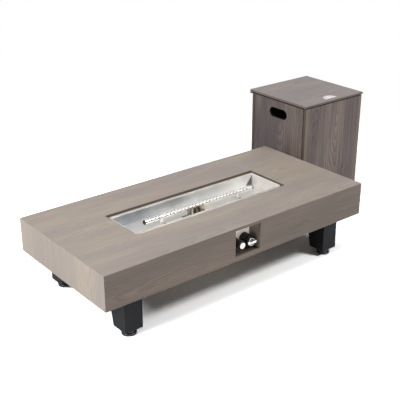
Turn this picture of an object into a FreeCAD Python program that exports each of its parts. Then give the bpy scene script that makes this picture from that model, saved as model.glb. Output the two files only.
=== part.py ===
import FreeCAD, Part
import math
import os
import re
import Sketcher
from FreeCAD import Placement, Rotation, Vector

# Low fire pit table with a burner pan, control niche, tapered legs and screw feet,
# and the matching cover for its gas bottle, which stands beside the table's right end.
# Millimetres. X runs along the table, -Y is the side with the controls, +Z is up.
# Pieces are placed from the table's centre on the floor; shift_x and shift_y then move
# the whole set so that the origin is the middle of its outline on the floor.

sizes = {
    # table casing
    "table_length": 1400,
    "table_width": 646,
    "table_height": 335,
    "top_thickness": 12,
    "apron_height": 152,
    "apron_thickness": 12,
    "opening_length": 824,
    "opening_width": 232,
    # control niche in the front apron
    "niche_width": 138,
    "niche_shift": 4,
    "niche_sill": 17,
    "niche_depth": 72,
    "niche_board": 12,
    "plate_thickness": 2,
    # steel frame
    "rail_size": 25,
    "rail_wall": 1.5,
    "channel_width": 128,
    "channel_height": 25,
    "channel_wall": 3,
    # legs and their bolts
    "leg_width": 84,
    "leg_top_depth": 116,
    "leg_foot_depth": 83,
    "leg_wall": 2.5,
    "leg_floor": 4,
    "leg_flange": 4,
    "leg_end_inset": 107,
    "leg_side_inset": 39,
    "leg_lift": 27,
    "bolt_radius": 4,
    "bolt_clearance": 0.5,
    "bolt_head_radius": 7.5,
    "bolt_head_height": 5.3,
    "bolt_tail": 3,
    "nut_height": 6.5,
    "bolt_edge_x": 11,
    "bolt_spacing_y": 82,
    # screw feet
    "foot_radius": 31.5,
    "foot_thickness": 11,
    "foot_round": 4,
    "hub_radius": 20,
    "hub_slope": 4,
    "foot_screw_radius": 5,
    "foot_screw_length": 48,
    "foot_inset": 37,
    "boss_radius": 12,
    "boss_height": 20,
    "running_gap": 0.05,
    "seat_gap": 0.3,
    # burner pan
    "pan_length": 800,
    "pan_width": 190,
    "pan_depth": 48,
    "pan_sheet": 1.5,
    "pan_lap": 24,
    "pan_rail_gap": 3.5,
    # burner tube and what holds it
    "tube_radius": 9.5,
    "tube_wall": 1,
    "tube_length": 608,
    "tube_shift": 27,
    "tube_back": 20,
    "tube_rise": 25,
    "port_radius": 1.25,
    "port_spacing": 20,
    "port_offset": 4.5,
    "cap_thickness": 4,
    "cap_lip": 1,
    "cap_plug": 8,
    "strap_width": 16,
    "strap_wall": 1.5,
    "strap_gap": 0.1,
    "strap_spacing": 430,
    "strap_reach": 30,
    "strap_heel": 8,
    "strap_screw": 22,
    "screw_radius": 2.5,
    "screw_clearance": 0.2,
    "screw_head_radius": 5,
    "screw_head_height": 3.2,
    "screw_length": 9,
    "feed_radius": 7,
    "feed_clearance": 0.5,
    "feed_nut_radius": 12,
    "feed_nut_height": 8,
    "feed_tail": 3.5,
    # pilot group
    "pilot_left": -55,
    "pilot_right": 36,
    "pilot_foot_left": -92,
    "pilot_foot_depth": 22,
    "pilot_sheet": 1.5,
    "pilot_height": 27,
    "pilot_gap": 0.5,
    "pilot_screw_left": -82,
    "pilot_screw_right": 30,
    "pilot_screw_back": 12.5,
    "hood_x": -8,
    "hood_width": 22,
    "hood_depth": 15,
    "hood_height": 26,
    "hood_wall": 1,
    "hood_burner_radius": 4,
    "hood_burner_height": 13,
    "electrode_x": -34,
    "electrode_base_radius": 5,
    "electrode_base_height": 4,
    "ceramic_radius": 3.2,
    "ceramic_height": 17,
    "wire_radius": 0.9,
    "wire_rise": 6,
    "wire_reach": 13,
    "wire_bend": 3,
    "thermocouple_x": 17,
    "thermocouple_base_radius": 4.5,
    "thermocouple_base_height": 6,
    "thermocouple_radius": 2.2,
    "thermocouple_height": 27,
    # gas valve and control knob
    "knob_x": 42,
    "control_height": 234,
    "valve_block": 40,
    "valve_depth": 52,
    "valve_floor": 8,
    "neck_radius": 14.5,
    "neck_length": 6,
    "neck_clearance": 0.5,
    "plug_radius": 8,
    "plug_length": 31,
    "plug_bore": 27,
    "spindle_radius": 4,
    "spindle_tail": 30,
    "spindle_collar_radius": 6.5,
    "spindle_collar": 2,
    "spring_wire_radius": 0.5,
    "spring_turns": 5,
    "valve_outlet_radius": 9,
    "valve_outlet_length": 8,
    "valve_inlet_back": 30,
    "valve_inlet_length": 6,
    "boss_outer_radius": 25,
    "boss_base_radius": 27,
    "boss_front": 50,
    "boss_recess_radius": 19.5,
    "boss_recess_depth": 6,
    "boss_edge": 2,
    "boss_spindle_clearance": 1,
    "knob_radius": 18,
    "knob_back": 48.5,
    "knob_face": 56,
    "knob_round": 2,
    "grip_back": 54.5,
    "grip_front": 63,
    "grip_length": 50,
    "grip_width": 12,
    "grip_round": 3,
    "knob_bore_end": 59,
    # igniter
    "button_x": -12,
    "igniter_radius": 19,
    "igniter_front": 46,
    "barrel_radius": 11,
    "barrel_length": 44,
    "barrel_clearance": 0.2,
    "collar_radius": 21,
    "collar_bore": 15.3,
    "collar_length": 5,
    "button_radius": 14.5,
    "button_back": 50.5,
    "button_front": 59,
    "button_round": 1.5,
    "button_stem_radius": 6,
    "button_collar_radius": 7.7,
    "button_collar": 4,
    "button_shoulder": 30,
    "button_bore_tail": 20,
    "button_bore_radius": 8,
    "button_spring_wire": 0.6,
    "button_spring_turns": 8,
    # gas pipe and inlet
    "pipe_radius": 5,
    "pipe_bore": 3.9,
    "pipe_bend": 22,
    "inlet_hex_radius": 11,
    "inlet_hex_length": 8,
    "inlet_nose_radius": 7.94,
    "inlet_nose_length": 14,
    "inlet_bore": 3.5,
    # tank cover
    "cover_gap": 51,
    "cover_front": 100,
    "cover_height": 587,
    "lid_length": 418,
    "lid_depth": 404,
    "lid_thickness": 10,
    "lid_gap": 4,
    "lid_side_overhang": 5.5,
    "lid_front_overhang": 2,
    "lid_back_overhang": 14,
    "panel_thickness": 15,
    "shadow_gap": 4,
    "cleat_size": 25,
    "glide_height": 5,
    "glide_radius": 12,
    "slot_length": 124,
    "slot_height": 50,
    "slot_drop": 82,
    "pad_radius": 5.5,
    "lid_rail_height": 10,
    # finger pull in the lid
    "pull_radius": 36,
    "pull_inset": 29,
    "pull_depth": 14,
    "pull_wall": 1.2,
    "pull_lip": 3,
    "pull_lip_height": 1,
    "pull_clearance": 0.2,
    # hinges of the lid
    "hinge_spacing": 260,
    "hinge_width": 60,
    "hinge_radius": 5,
    "hinge_pin_radius": 2,
    "hinge_leaf": 1.5,
    "hinge_leaf_drop": 40,
    "hinge_end_gap": 0.3,
}

places = {
    "under_top": "table_height - top_thickness",
    "apron_bottom": "table_height - apron_height",
    "inner_x": "table_length / 2 - apron_thickness",
    "inner_y": "table_width / 2 - apron_thickness",
    "niche_left": "niche_shift - niche_width / 2",
    "niche_right": "niche_shift + niche_width / 2",
    "niche_floor": "table_height - apron_height + niche_sill",
    "plate_front": "niche_depth - table_width / 2",
    "plate_back": "niche_depth - table_width / 2 + plate_thickness",
    "rail_middle": "table_height - top_thickness - rail_size / 2",
    "rail_y": "table_width / 2 - apron_thickness - rail_size / 2",
    "pan_rail_y": "pan_width / 2 + pan_sheet + pan_rail_gap + rail_size / 2",
    "leg_x": "table_length / 2 - leg_end_inset - leg_width / 2",
    "leg_face": "table_width / 2 - leg_side_inset",
    "leg_height": "table_height - apron_height - leg_lift",
    "leg_bolt_x": "leg_width / 2 + bolt_edge_x",
    "leg_bolt_y": "table_width / 2 - leg_side_inset - leg_top_depth / 2",
    "foot_y": "table_width / 2 - leg_side_inset - foot_inset",
    "pan_floor": "table_height - top_thickness - pan_depth",
    "pilot_face": "tube_back - tube_radius - pilot_gap",
    "pilot_middle": "tube_back - tube_radius - pilot_gap - pilot_sheet - hood_depth / 2",
    "feed_bottom": "table_height - top_thickness - pan_depth - pan_sheet - feed_nut_height - feed_tail",
    "body_left": "table_length / 2 + cover_gap + lid_side_overhang",
    "body_length": "lid_length - 2 * lid_side_overhang",
    "body_front": "cover_front + lid_front_overhang",
    "body_depth": "lid_depth - lid_front_overhang - lid_back_overhang",
    "lid_bottom": "cover_height - lid_thickness",
    "body_top": "cover_height - lid_thickness - lid_gap",
    "cover_middle_x": "table_length / 2 + cover_gap + lid_length / 2",
    "hinge_y": "cover_front + lid_depth - hinge_radius - hinge_end_gap",
    "hinge_z": "cover_height - lid_thickness - lid_rail_height - hinge_leaf - seat_gap - hinge_radius",
    "shift_x": "(cover_gap + lid_length) / 2",
    "shift_y": "(cover_front + lid_depth - table_width / 2) / 2",
}

doc = FreeCAD.newDocument("fire_pit_table")
name_in_formula = re.compile(r"[a-z]+(?:_[a-z]+)+")


def full(text):
    """A formula with its sheet written before every size or place that it names."""
    def with_sheet(found):
        name = found.group()
        return ("Sizes." if name in sizes else "Places.") + name
    return name_in_formula.sub(with_sheet, str(text))


def fill_sheets():
    size_sheet = doc.addObject("Spreadsheet::Sheet", "Sizes")
    for row, (name, value) in enumerate(sizes.items(), start=1):
        size_sheet.set("A%d" % row, name)
        size_sheet.set("B%d" % row, str(value))
        size_sheet.setAlias("B%d" % row, name)
    doc.recompute()
    place_sheet = doc.addObject("Spreadsheet::Sheet", "Places")
    for row, (name, text) in enumerate(places.items(), start=1):
        place_sheet.set("A%d" % row, name)
        place_sheet.set("B%d" % row, "=" + full(text))
        place_sheet.setAlias("B%d" % row, name)
    doc.recompute()
    return size_sheet


size_sheet = fill_sheets()
sub_parts = {}
turn_x = Rotation(Vector(1, 0, 0), 90)
turn_x_back = Rotation(Vector(1, 0, 0), -90)
turn_y = Rotation(Vector(0, 1, 0), 90)
upside_down = Rotation(Vector(1, 0, 0), 180)


def turn_z(degrees):
    return Rotation(Vector(0, 0, 1), degrees)


def worked_out(text):
    return float(size_sheet.evalExpression(full(text)))


def bind(item, **formulas):
    for prop, text in formulas.items():
        item.setExpression(prop, full(text))
    return item


def put(item, x=0, y=0, z=0, turn=None):
    if turn is not None:
        item.Placement = Placement(Vector(), turn)
    for axis, text in zip("xyz", (x, y, z)):
        item.setExpression("Placement.Base." + axis, full(text))
    return item


def add(kind, name):
    return doc.addObject(kind, name)


def sub_part(node, item, x=0, y=0, z=0, turn=None):
    """Names a finished piece and moves it from the table's centre to the set's own origin."""
    put(item, "%s - shift_x" % x, "%s - shift_y" % y, z, turn)
    item.Label = node
    sub_parts[node] = item
    return item


def box(name, length, width, height, x=0, y=0, z=0):
    item = bind(add("Part::Box", name), Length=length, Width=width, Height=height)
    return put(item, x, y, z)


def middle_box(name, length, width, height, x=0, y=0, z=0):
    """A box whose place is the middle of its underside."""
    return box(name, length, width, height,
               "%s - (%s) / 2" % (x, length), "%s - (%s) / 2" % (y, width), z)


def cylinder(name, radius, height, x=0, y=0, z=0, turn=None, angle=360):
    item = bind(add("Part::Cylinder", name), Radius=radius, Height=height)
    item.Angle = angle
    return put(item, x, y, z, turn)


def prism(name, radius, height, x=0, y=0, z=0, turn=None):
    item = bind(add("Part::Prism", name), Circumradius=radius, Height=height)
    item.Polygon = 6
    return put(item, x, y, z, turn)


def wedge(name, height, low, high):
    """A block between two rectangles (x, x, z, z), the second one a height further along Y."""
    item = add("Part::Wedge", name)
    item.Xmin, item.Xmax, item.Zmin, item.Zmax = 0, 1, 0, 1
    bind(item, Ymin=0, Ymax=height, Xmin=low[0], Xmax=low[1], Zmin=low[2], Zmax=low[3],
         X2min=high[0], X2max=high[1], Z2min=high[2], Z2max=high[3])
    return item


def fuse(name, *pieces):
    item = add("Part::MultiFuse", name)
    item.Shapes = list(pieces)
    item.Refine = True
    return item


def cut(name, base, *tools):
    item = add("Part::Cut", name)
    item.Base = base
    item.Tool = tools[0] if len(tools) == 1 else fuse(name + "_tools", *tools)
    item.Refine = True
    return item


def group(name, pieces):
    item = add("Part::Compound", name)
    item.Links = list(pieces)
    return item


def new_body(name):
    return add("PartDesign::Body", name)


def sketch_on(body, role, name):
    sketch = body.newObject("Sketcher::SketchObject", name)
    plane = [item for item in body.Origin.OriginFeatures if item.Role == role][0]
    sketch.AttachmentSupport = (plane, [""])
    sketch.MapMode = "FlatFace"
    return sketch


def pin(sketch, shape, point, x, y):
    """Holds one point of a sketch at two formulas."""
    for kind, text in (("DistanceX", x), ("DistanceY", y)):
        row = sketch.addConstraint(
            Sketcher.Constraint(kind, -1, 1, shape, point, worked_out(text)))
        sketch.setExpression("Constraints[%d]" % row, full(text))


def outline(sketch, corners):
    """A closed outline of straight runs through corners that are each pinned."""
    spots = [Vector(worked_out(x), worked_out(y), 0) for x, y in corners]
    first = len(sketch.Geometry)
    for index, spot in enumerate(spots):
        sketch.addGeometry(Part.LineSegment(spot, spots[(index + 1) % len(spots)]))
    for index in range(len(spots)):
        follower = first + (index + 1) % len(spots)
        sketch.addConstraint(Sketcher.Constraint("Coincident", first + index, 2, follower, 1))
    for index, (x, y) in enumerate(corners):
        pin(sketch, first + index, 1, x, y)


def rectangle(sketch, length, width, x=0, y=0):
    left, right = "%s - (%s) / 2" % (x, length), "%s + (%s) / 2" % (x, length)
    near, far = "%s - (%s) / 2" % (y, width), "%s + (%s) / 2" % (y, width)
    outline(sketch, [(left, near), (right, near), (right, far), (left, far)])


def circle(sketch, radius, x=0, y=0):
    spot = Vector(worked_out(x), worked_out(y), 0)
    shape = sketch.addGeometry(Part.Circle(spot, Vector(0, 0, 1), worked_out(radius)))
    pin(sketch, shape, 3, x, y)
    row = sketch.addConstraint(Sketcher.Constraint("Radius", shape, worked_out(radius)))
    sketch.setExpression("Constraints[%d]" % row, full(radius))


def pad(body, sketch, length, back=False):
    item = body.newObject("PartDesign::Pad", sketch.Name + "_pad")
    item.Profile = sketch
    item.Reversed = back
    return bind(item, Length=length)


def pocket(body, sketch, length, back=False):
    """Cuts a sketch away against its normal, or along it with back."""
    item = body.newObject("PartDesign::Pocket", sketch.Name + "_pocket")
    item.Profile = sketch
    item.Reversed = back
    return bind(item, Length=length)


def turned(name, corners):
    """A body turned about its own Z from a profile of (radius, height) corners."""
    body = new_body(name)
    sketch = sketch_on(body, "XZ_Plane", name + "_profile")
    outline(sketch, corners)
    spin = body.newObject("PartDesign::Revolution", name + "_turning")
    spin.Profile = sketch
    spin.ReferenceAxis = (sketch, ["V_Axis"])
    spin.Angle = 360
    return body


def rounded(body, radius, wanted):
    """Rounds the edges of the body that the test picks out."""
    doc.recompute()
    tip = body.Tip
    names = ["Edge%d" % (index + 1) for index, edge in enumerate(tip.Shape.Edges) if wanted(edge)]
    item = body.newObject("PartDesign::Fillet", body.Name + "_rounding")
    item.Base = (tip, names)
    bind(item, Radius=radius)
    return body


def ring_edge(radius, height):
    """A test for the round edge with this radius at this height."""
    wanted_radius, wanted_height = worked_out(radius), worked_out(height)

    def test(edge):
        is_round = hasattr(edge.Curve, "Radius")
        return (is_round and abs(edge.Curve.Radius - wanted_radius) < 0.01
                and abs(edge.BoundBox.ZMin - wanted_height) < 0.01
                and abs(edge.BoundBox.ZMax - wanted_height) < 0.01)
    return test


def square_tube(name, length):
    """A hollow square tube along its own Z, centred on it."""
    body = new_body(name)
    sketch = sketch_on(body, "XY_Plane", name + "_section")
    rectangle(sketch, "rail_size", "rail_size")
    rectangle(sketch, "rail_size - 2 * rail_wall", "rail_size - 2 * rail_wall")
    pad(body, sketch, length)
    return body


def mitred_board(name, length, height, thickness):
    """A wall panel seen from outside: its ends and its upper edge are mitred, its foot is square."""
    half = "(%s) / 2" % length
    return wedge(name, thickness,
                 ("-" + half, half, 0, height),
                 ("-%s + %s" % (half, thickness), "%s - %s" % (half, thickness),
                  0, "%s - %s" % (height, thickness)))


def spring(name, radius, wire, height, turns):
    """A round wire wound as a helix along its own Z."""
    line = add("Part::Helix", name + "_line")
    bind(line, Radius=radius, Height="%s - 2 * %s" % (height, wire),
         Pitch="(%s - 2 * %s) / %s" % (height, wire, turns))
    put(line, 0, 0, wire)
    section = bind(add("Part::Circle", name + "_wire"), Radius=wire)
    put(section, radius, 0, wire, turn_x)
    sweep = add("Part::Sweep", name)
    sweep.Sections = [section]
    sweep.Spine = (line, [])
    sweep.Solid = True
    sweep.Frenet = True
    return sweep


def make_top():
    board = wedge("top_board", "top_thickness",
                  ("-inner_x", "inner_x", "-inner_y", "inner_y"),
                  ("-table_length / 2", "table_length / 2", "-table_width / 2", "table_width / 2"))
    put(board, turn=turn_x)
    hole = middle_box("top_opening", "opening_length", "opening_width", "3 * top_thickness",
                      z="-top_thickness")
    sub_part("top_panel", cut("top_cut", board, hole), z="under_top")


def make_aprons():
    front = mitred_board("front_board", "table_length", "apron_height", "apron_thickness")
    niche = box("niche_cut", "niche_width", "3 * apron_thickness",
                "apron_height - top_thickness - niche_sill",
                "niche_left", "-apron_thickness", "niche_sill")
    sub_part("front_apron", cut("front_cut", front, niche), 0, "-table_width / 2", "apron_bottom")
    back = mitred_board("back_board", "table_length", "apron_height", "apron_thickness")
    sub_part("back_apron", back, 0, "table_width / 2", "apron_bottom", turn_z(180))
    for side, sign, degrees in (("left", "-", -90), ("right", "", 90)):
        end = mitred_board(side + "_board", "table_width", "apron_height", "apron_thickness")
        sub_part(side + "_apron", end, sign + "table_length / 2", 0, "apron_bottom",
                 turn_z(degrees))


def make_niche():
    depth = "niche_depth - apron_thickness"
    across = "niche_width + 2 * niche_board"
    sub_part("niche_floor_board", box("floor_board", across, depth, "niche_board"),
             "niche_left - niche_board", "-inner_y", "niche_floor - niche_board")
    for side, x in (("left", "niche_left - niche_board"), ("right", "niche_right")):
        board = box(side + "_niche", "niche_board", depth, "under_top - niche_floor")
        sub_part("niche_%s_board" % side, board, x, "-inner_y", "niche_floor")
    plate = new_body("plate_body")
    sketch = sketch_on(plate, "XY_Plane", "plate_outline")
    low, high = "niche_floor - niche_board - control_height", "under_top - control_height"
    left, right = "niche_left - niche_board - knob_x", "niche_right + niche_board - knob_x"
    outline(sketch, [(left, low), (right, low), (right, high), (left, high)])
    circle(sketch, "neck_radius + neck_clearance")
    circle(sketch, "barrel_radius + barrel_clearance", "button_x - knob_x")
    pad(plate, sketch, "plate_thickness")
    sub_part("control_plate", plate, "knob_x", "plate_back", "control_height", turn_x)


def make_frame():
    """Square tubes under the top, and posts down to the leg channels."""
    left_run = "niche_left - niche_board + inner_x"
    right_run = "inner_x - niche_right - niche_board"
    left_tube = put(square_tube("front_left_tube", left_run),
                    "-inner_x", "-rail_y", "rail_middle", turn_y)
    right_tube = put(square_tube("front_right_tube", right_run),
                     "niche_right + niche_board", "-rail_y", "rail_middle", turn_y)
    sub_part("front_rail", group("front_tubes", [left_tube, right_tube]))
    sub_part("back_rail", square_tube("back_tube", "2 * inner_x"),
             "-inner_x", "rail_y", "rail_middle", turn_y)
    for side, sign in (("left", "-"), ("right", "")):
        end = square_tube(side + "_end_tube", "2 * (inner_y - rail_size)")
        sub_part(side + "_end_rail", end, "%s(inner_x - rail_size / 2)" % sign,
                 "-(inner_y - rail_size)", "rail_middle", turn_x_back)
    for side, sign in (("front", "-"), ("back", "")):
        rail = square_tube(side + "_pan_tube", "2 * (inner_x - rail_size)")
        sub_part("pan_rail_" + side, rail, "-(inner_x - rail_size)", sign + "pan_rail_y",
                 "rail_middle - pan_sheet", turn_y)
    posts = []
    for x_sign in ("-", ""):
        for y_sign in ("-", ""):
            post = square_tube("post", "apron_height - top_thickness - rail_size - channel_wall")
            posts.append(put(post, x_sign + "leg_x", y_sign + "rail_y",
                             "apron_bottom + channel_wall"))
    sub_part("frame_posts", group("posts", posts))


def make_leg_channels():
    """A channel across the table over each pair of legs, open upwards."""
    for side, sign in (("left", "-"), ("right", "")):
        body = new_body(side + "_channel")
        sketch = sketch_on(body, "XZ_Plane", side + "_channel_section")
        outer, inner = "channel_width / 2", "(channel_width / 2 - channel_wall)"
        outline(sketch, [("-" + outer, 0), (outer, 0), (outer, "channel_height"),
                         (inner, "channel_height"), (inner, "channel_wall"),
                         ("-" + inner, "channel_wall"), ("-" + inner, "channel_height"),
                         ("-" + outer, "channel_height")])
        run = pad(body, sketch, "2 * inner_y")
        run.Midplane = True
        holes = sketch_on(body, "XY_Plane", side + "_channel_holes")
        for x in ("-leg_bolt_x", "leg_bolt_x"):
            for leg in ("-leg_bolt_y", "leg_bolt_y"):
                for step in ("- bolt_spacing_y / 2", "+ bolt_spacing_y / 2"):
                    circle(holes, "bolt_radius + bolt_clearance", x, "%s %s" % (leg, step))
        pocket(body, holes, "2 * channel_wall", back=True)
        sub_part("leg_channel_" + side, body, sign + "leg_x", 0, "apron_bottom")


def make_leg(name):
    """A hollow leg, upright outside and tapered inside; its place is its outer face's foot."""
    half, top, foot = "leg_width / 2", "leg_top_depth", "leg_foot_depth"
    shell = wedge(name + "_shell", "leg_height", ("-" + half, half, "-" + foot, 0),
                  ("-" + half, half, "-" + top, 0))
    put(shell, turn=turn_x)
    inner = "(leg_width / 2 - leg_wall)"
    hollow = wedge(name + "_hollow", "leg_height",
                   ("-" + inner, inner, "leg_wall - leg_foot_depth", "-leg_wall"),
                   ("-" + inner, inner, "leg_wall - leg_top_depth", "-leg_wall"))
    put(hollow, 0, 0, "leg_floor", turn_x)
    lip = box(name + "_lip", "channel_width", "leg_top_depth", "leg_flange",
              "-channel_width / 2", 0, "leg_height - leg_flange")
    boss = cylinder(name + "_boss", "boss_radius", "boss_height", 0, "foot_inset", 0)
    bore = cylinder(name + "_bore", "foot_screw_radius + running_gap",
                    "boss_height + 2 * leg_floor", 0, "foot_inset", "-leg_floor")
    holes = []
    for x in ("-leg_bolt_x", "leg_bolt_x"):
        for step in ("- bolt_spacing_y / 2", "+ bolt_spacing_y / 2"):
            holes.append(cylinder(name + "_hole", "bolt_radius + bolt_clearance",
                                  "3 * leg_flange", x, "leg_top_depth / 2 %s" % step,
                                  "leg_height - 2 * leg_flange"))
    empty = cut(name + "_empty", fuse(name + "_outside", shell, lip), hollow)
    return cut(name, fuse(name + "_with_boss", empty, boss), bore, *holes)


def make_foot(name):
    """A screw foot: a round pad on the floor, a hub and a threaded stem, standing on Z."""
    hub_top = "leg_lift - seat_gap"
    body = turned(name, [
        (0, 0), ("foot_radius", 0), ("foot_radius", "foot_thickness"),
        ("hub_radius + hub_slope", "foot_thickness"), ("hub_radius", hub_top),
        ("foot_screw_radius", hub_top), ("foot_screw_radius", hub_top + " + foot_screw_length"),
        (0, hub_top + " + foot_screw_length")])
    return rounded(body, "foot_round", ring_edge("foot_radius", "foot_thickness"))


def make_legs():
    bolts = []
    for y_name, y_sign, degrees in (("front", "-", 0), ("back", "", 180)):
        for x_name, x_sign in (("left", "-"), ("right", "")):
            corner = "%s_%s" % (y_name, x_name)
            sub_part("leg_" + corner, make_leg("leg_%s_piece" % corner),
                     x_sign + "leg_x", y_sign + "leg_face", "leg_lift", turn_z(degrees))
            sub_part("foot_" + corner, make_foot("foot_%s_piece" % corner),
                     x_sign + "leg_x", y_sign + "foot_y")
            for x_step in ("- leg_bolt_x", "+ leg_bolt_x"):
                for y_step in ("- bolt_spacing_y / 2", "+ bolt_spacing_y / 2"):
                    bolts += make_leg_bolt("%sleg_x %s" % (x_sign, x_step),
                                           "%sleg_bolt_y %s" % (y_sign, y_step))
    sub_part("leg_bolts", group("leg_fasteners", bolts))


def make_leg_bolt(x, y):
    """A hexagon bolt up through the leg's lip and the channel, and its nut."""
    grip = "leg_flange + channel_wall"
    under = "apron_bottom - leg_flange"
    head = prism("bolt_head", "bolt_head_radius", "bolt_head_height", 0, 0, "-bolt_head_height")
    shank = cylinder("bolt_shank", "bolt_radius", grip + " + nut_height + bolt_tail")
    bolt = put(fuse("leg_bolt", head, shank), x, y, under)
    blank = prism("nut_blank", "bolt_head_radius", "nut_height")
    bore = cylinder("nut_bore", "bolt_radius + running_gap", "3 * nut_height", z="-nut_height")
    nut = put(cut("leg_nut", blank, bore), x, y, "apron_bottom + channel_wall")
    return [bolt, nut]


def pan_screw_places():
    middle = "tube_shift %s strap_spacing / 2"
    pilot_y = "pilot_face - pilot_screw_back"
    return [(middle % "-", "tube_back - strap_screw"), (middle % "+", "tube_back - strap_screw"),
            ("pilot_screw_left", pilot_y), ("pilot_screw_right", pilot_y)]


def make_pan():
    """A folded pan that hangs by its flange between the top panel and the pan rails."""
    pan = new_body("pan_body")
    flange = sketch_on(pan, "XY_Plane", "pan_flange")
    rectangle(flange, "opening_length + 2 * pan_lap", "opening_width + 2 * pan_lap")
    pad(pan, flange, "pan_sheet", back=True)
    tub = sketch_on(pan, "XY_Plane", "pan_tub")
    rectangle(tub, "pan_length + 2 * pan_sheet", "pan_width + 2 * pan_sheet")
    pad(pan, tub, "pan_depth + pan_sheet", back=True)
    bowl = sketch_on(pan, "XY_Plane", "pan_bowl")
    rectangle(bowl, "pan_length", "pan_width")
    pocket(pan, bowl, "pan_depth")
    holes = sketch_on(pan, "XY_Plane", "pan_holes")
    circle(holes, "feed_radius + feed_clearance", "knob_x", "tube_back")
    for x, y in pan_screw_places():
        circle(holes, "screw_radius + screw_clearance", x, y)
    pocket(pan, holes, "pan_depth + 3 * pan_sheet")
    sub_part("burner_pan", pan, 0, 0, "under_top")


def make_burner():
    tube = new_body("tube_body")
    ring = sketch_on(tube, "XY_Plane", "tube_section")
    circle(ring, "tube_radius")
    circle(ring, "tube_radius - tube_wall")
    pad(tube, ring, "tube_length")
    ports = sketch_on(tube, "YZ_Plane", "tube_ports")
    circle(ports, "port_radius", "port_offset", "port_spacing")
    circle(ports, "port_radius", "-port_offset", "1.5 * port_spacing")
    first = pocket(tube, ports, "2 * tube_radius")
    pattern = tube.newObject("PartDesign::LinearPattern", "tube_port_rows")
    pattern.Originals = [first]
    pattern.Direction = (ports, ["V_Axis"])
    pattern.Occurrences = int(worked_out("tube_length / port_spacing")) - 2
    bind(pattern, Length="port_spacing * (Occurrences - 1)")
    tube.Tip = pattern
    up = "pan_floor + tube_rise"
    start = "tube_shift - tube_length / 2"
    tilt = Rotation(Vector(1, 0, 0), 20)
    sub_part("burner_tube", tube, start, "tube_back", up, tilt.multiply(turn_y))

    caps = []
    for x, turn in ((start, turn_y.multiply(upside_down)),
                    ("tube_shift + tube_length / 2", turn_y)):
        cap = turned("cap", [
            (0, "-cap_plug"), ("tube_radius - tube_wall - running_gap", "-cap_plug"),
            ("tube_radius - tube_wall - running_gap", 0), ("tube_radius + cap_lip", 0),
            ("tube_radius + cap_lip", "cap_thickness - cap_lip"),
            ("tube_radius", "cap_thickness"), (0, "cap_thickness")])
        caps.append(put(cap, x, "tube_back", up, turn))
    sub_part("burner_end_caps", group("caps", caps))

    straps, screws = [], []
    for sign in "-+":
        x = "tube_shift %s strap_spacing / 2" % sign
        straps.append(put(make_strap(), x, "tube_back", "pan_floor"))
    sub_part("tube_straps", group("straps", straps))
    for x, y in pan_screw_places():
        screws.append(make_screw(x, y, "pan_floor + strap_wall"))
    sub_part("pan_screws", group("screws", screws))

    nipple_top = "pan_floor + tube_rise - tube_radius + tube_wall / 2"
    nipple = cylinder("nipple", "feed_radius", nipple_top + " - feed_bottom",
                      "knob_x", "tube_back", "feed_bottom")
    nut = prism("feed_nut", "feed_nut_radius", "feed_nut_height", "knob_x", "tube_back",
                "pan_floor - pan_sheet - feed_nut_height")
    seat = cylinder("feed_seat", "tube_radius + running_gap", "8 * feed_radius",
                    "knob_x - 4 * feed_radius", "tube_back", up, turn_y)
    bore = cylinder("feed_bore", "pipe_bore", "4 * pan_depth", "knob_x", "tube_back",
                    "feed_bottom - pan_depth")
    sub_part("burner_feed", cut("feed_cut", fuse("feed", nipple, nut), seat, bore))


def make_strap():
    """A strip bent round the tube, down to the pan's floor and forward to its screw."""
    outer = "tube_radius + strap_gap + strap_wall"
    across = "-strap_width / 2"
    ring = cylinder("strap_ring", outer, "strap_width", across, 0, "tube_rise", turn_y)
    web = middle_box("strap_web", "strap_width", "strap_wall", "tube_rise - tube_radius")
    foot = box("strap_foot", "strap_width", "strap_reach + strap_heel", "strap_wall",
               across, "-strap_reach")
    bore = cylinder("strap_bore", "tube_radius + strap_gap", "3 * strap_width",
                    "-1.5 * strap_width", 0, "tube_rise", turn_y)
    hole = cylinder("strap_hole", "screw_radius + screw_clearance", "3 * strap_wall",
                    0, "-strap_screw", "-strap_wall")
    return cut("strap", fuse("strap_whole", ring, web, foot), bore, hole)


def make_screw(x, y, z):
    """A round-headed screw that points down, with its head's seat at z."""
    seat = "screw_head_height"
    screw = turned("screw", [
        (0, "-screw_length"), ("screw_radius", "-screw_length"), ("screw_radius", 0),
        ("screw_head_radius", 0), ("screw_head_radius", "0.4 * " + seat),
        ("0.6 * screw_head_radius", seat), (0, seat)])
    return put(screw, x, y, z)


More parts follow.
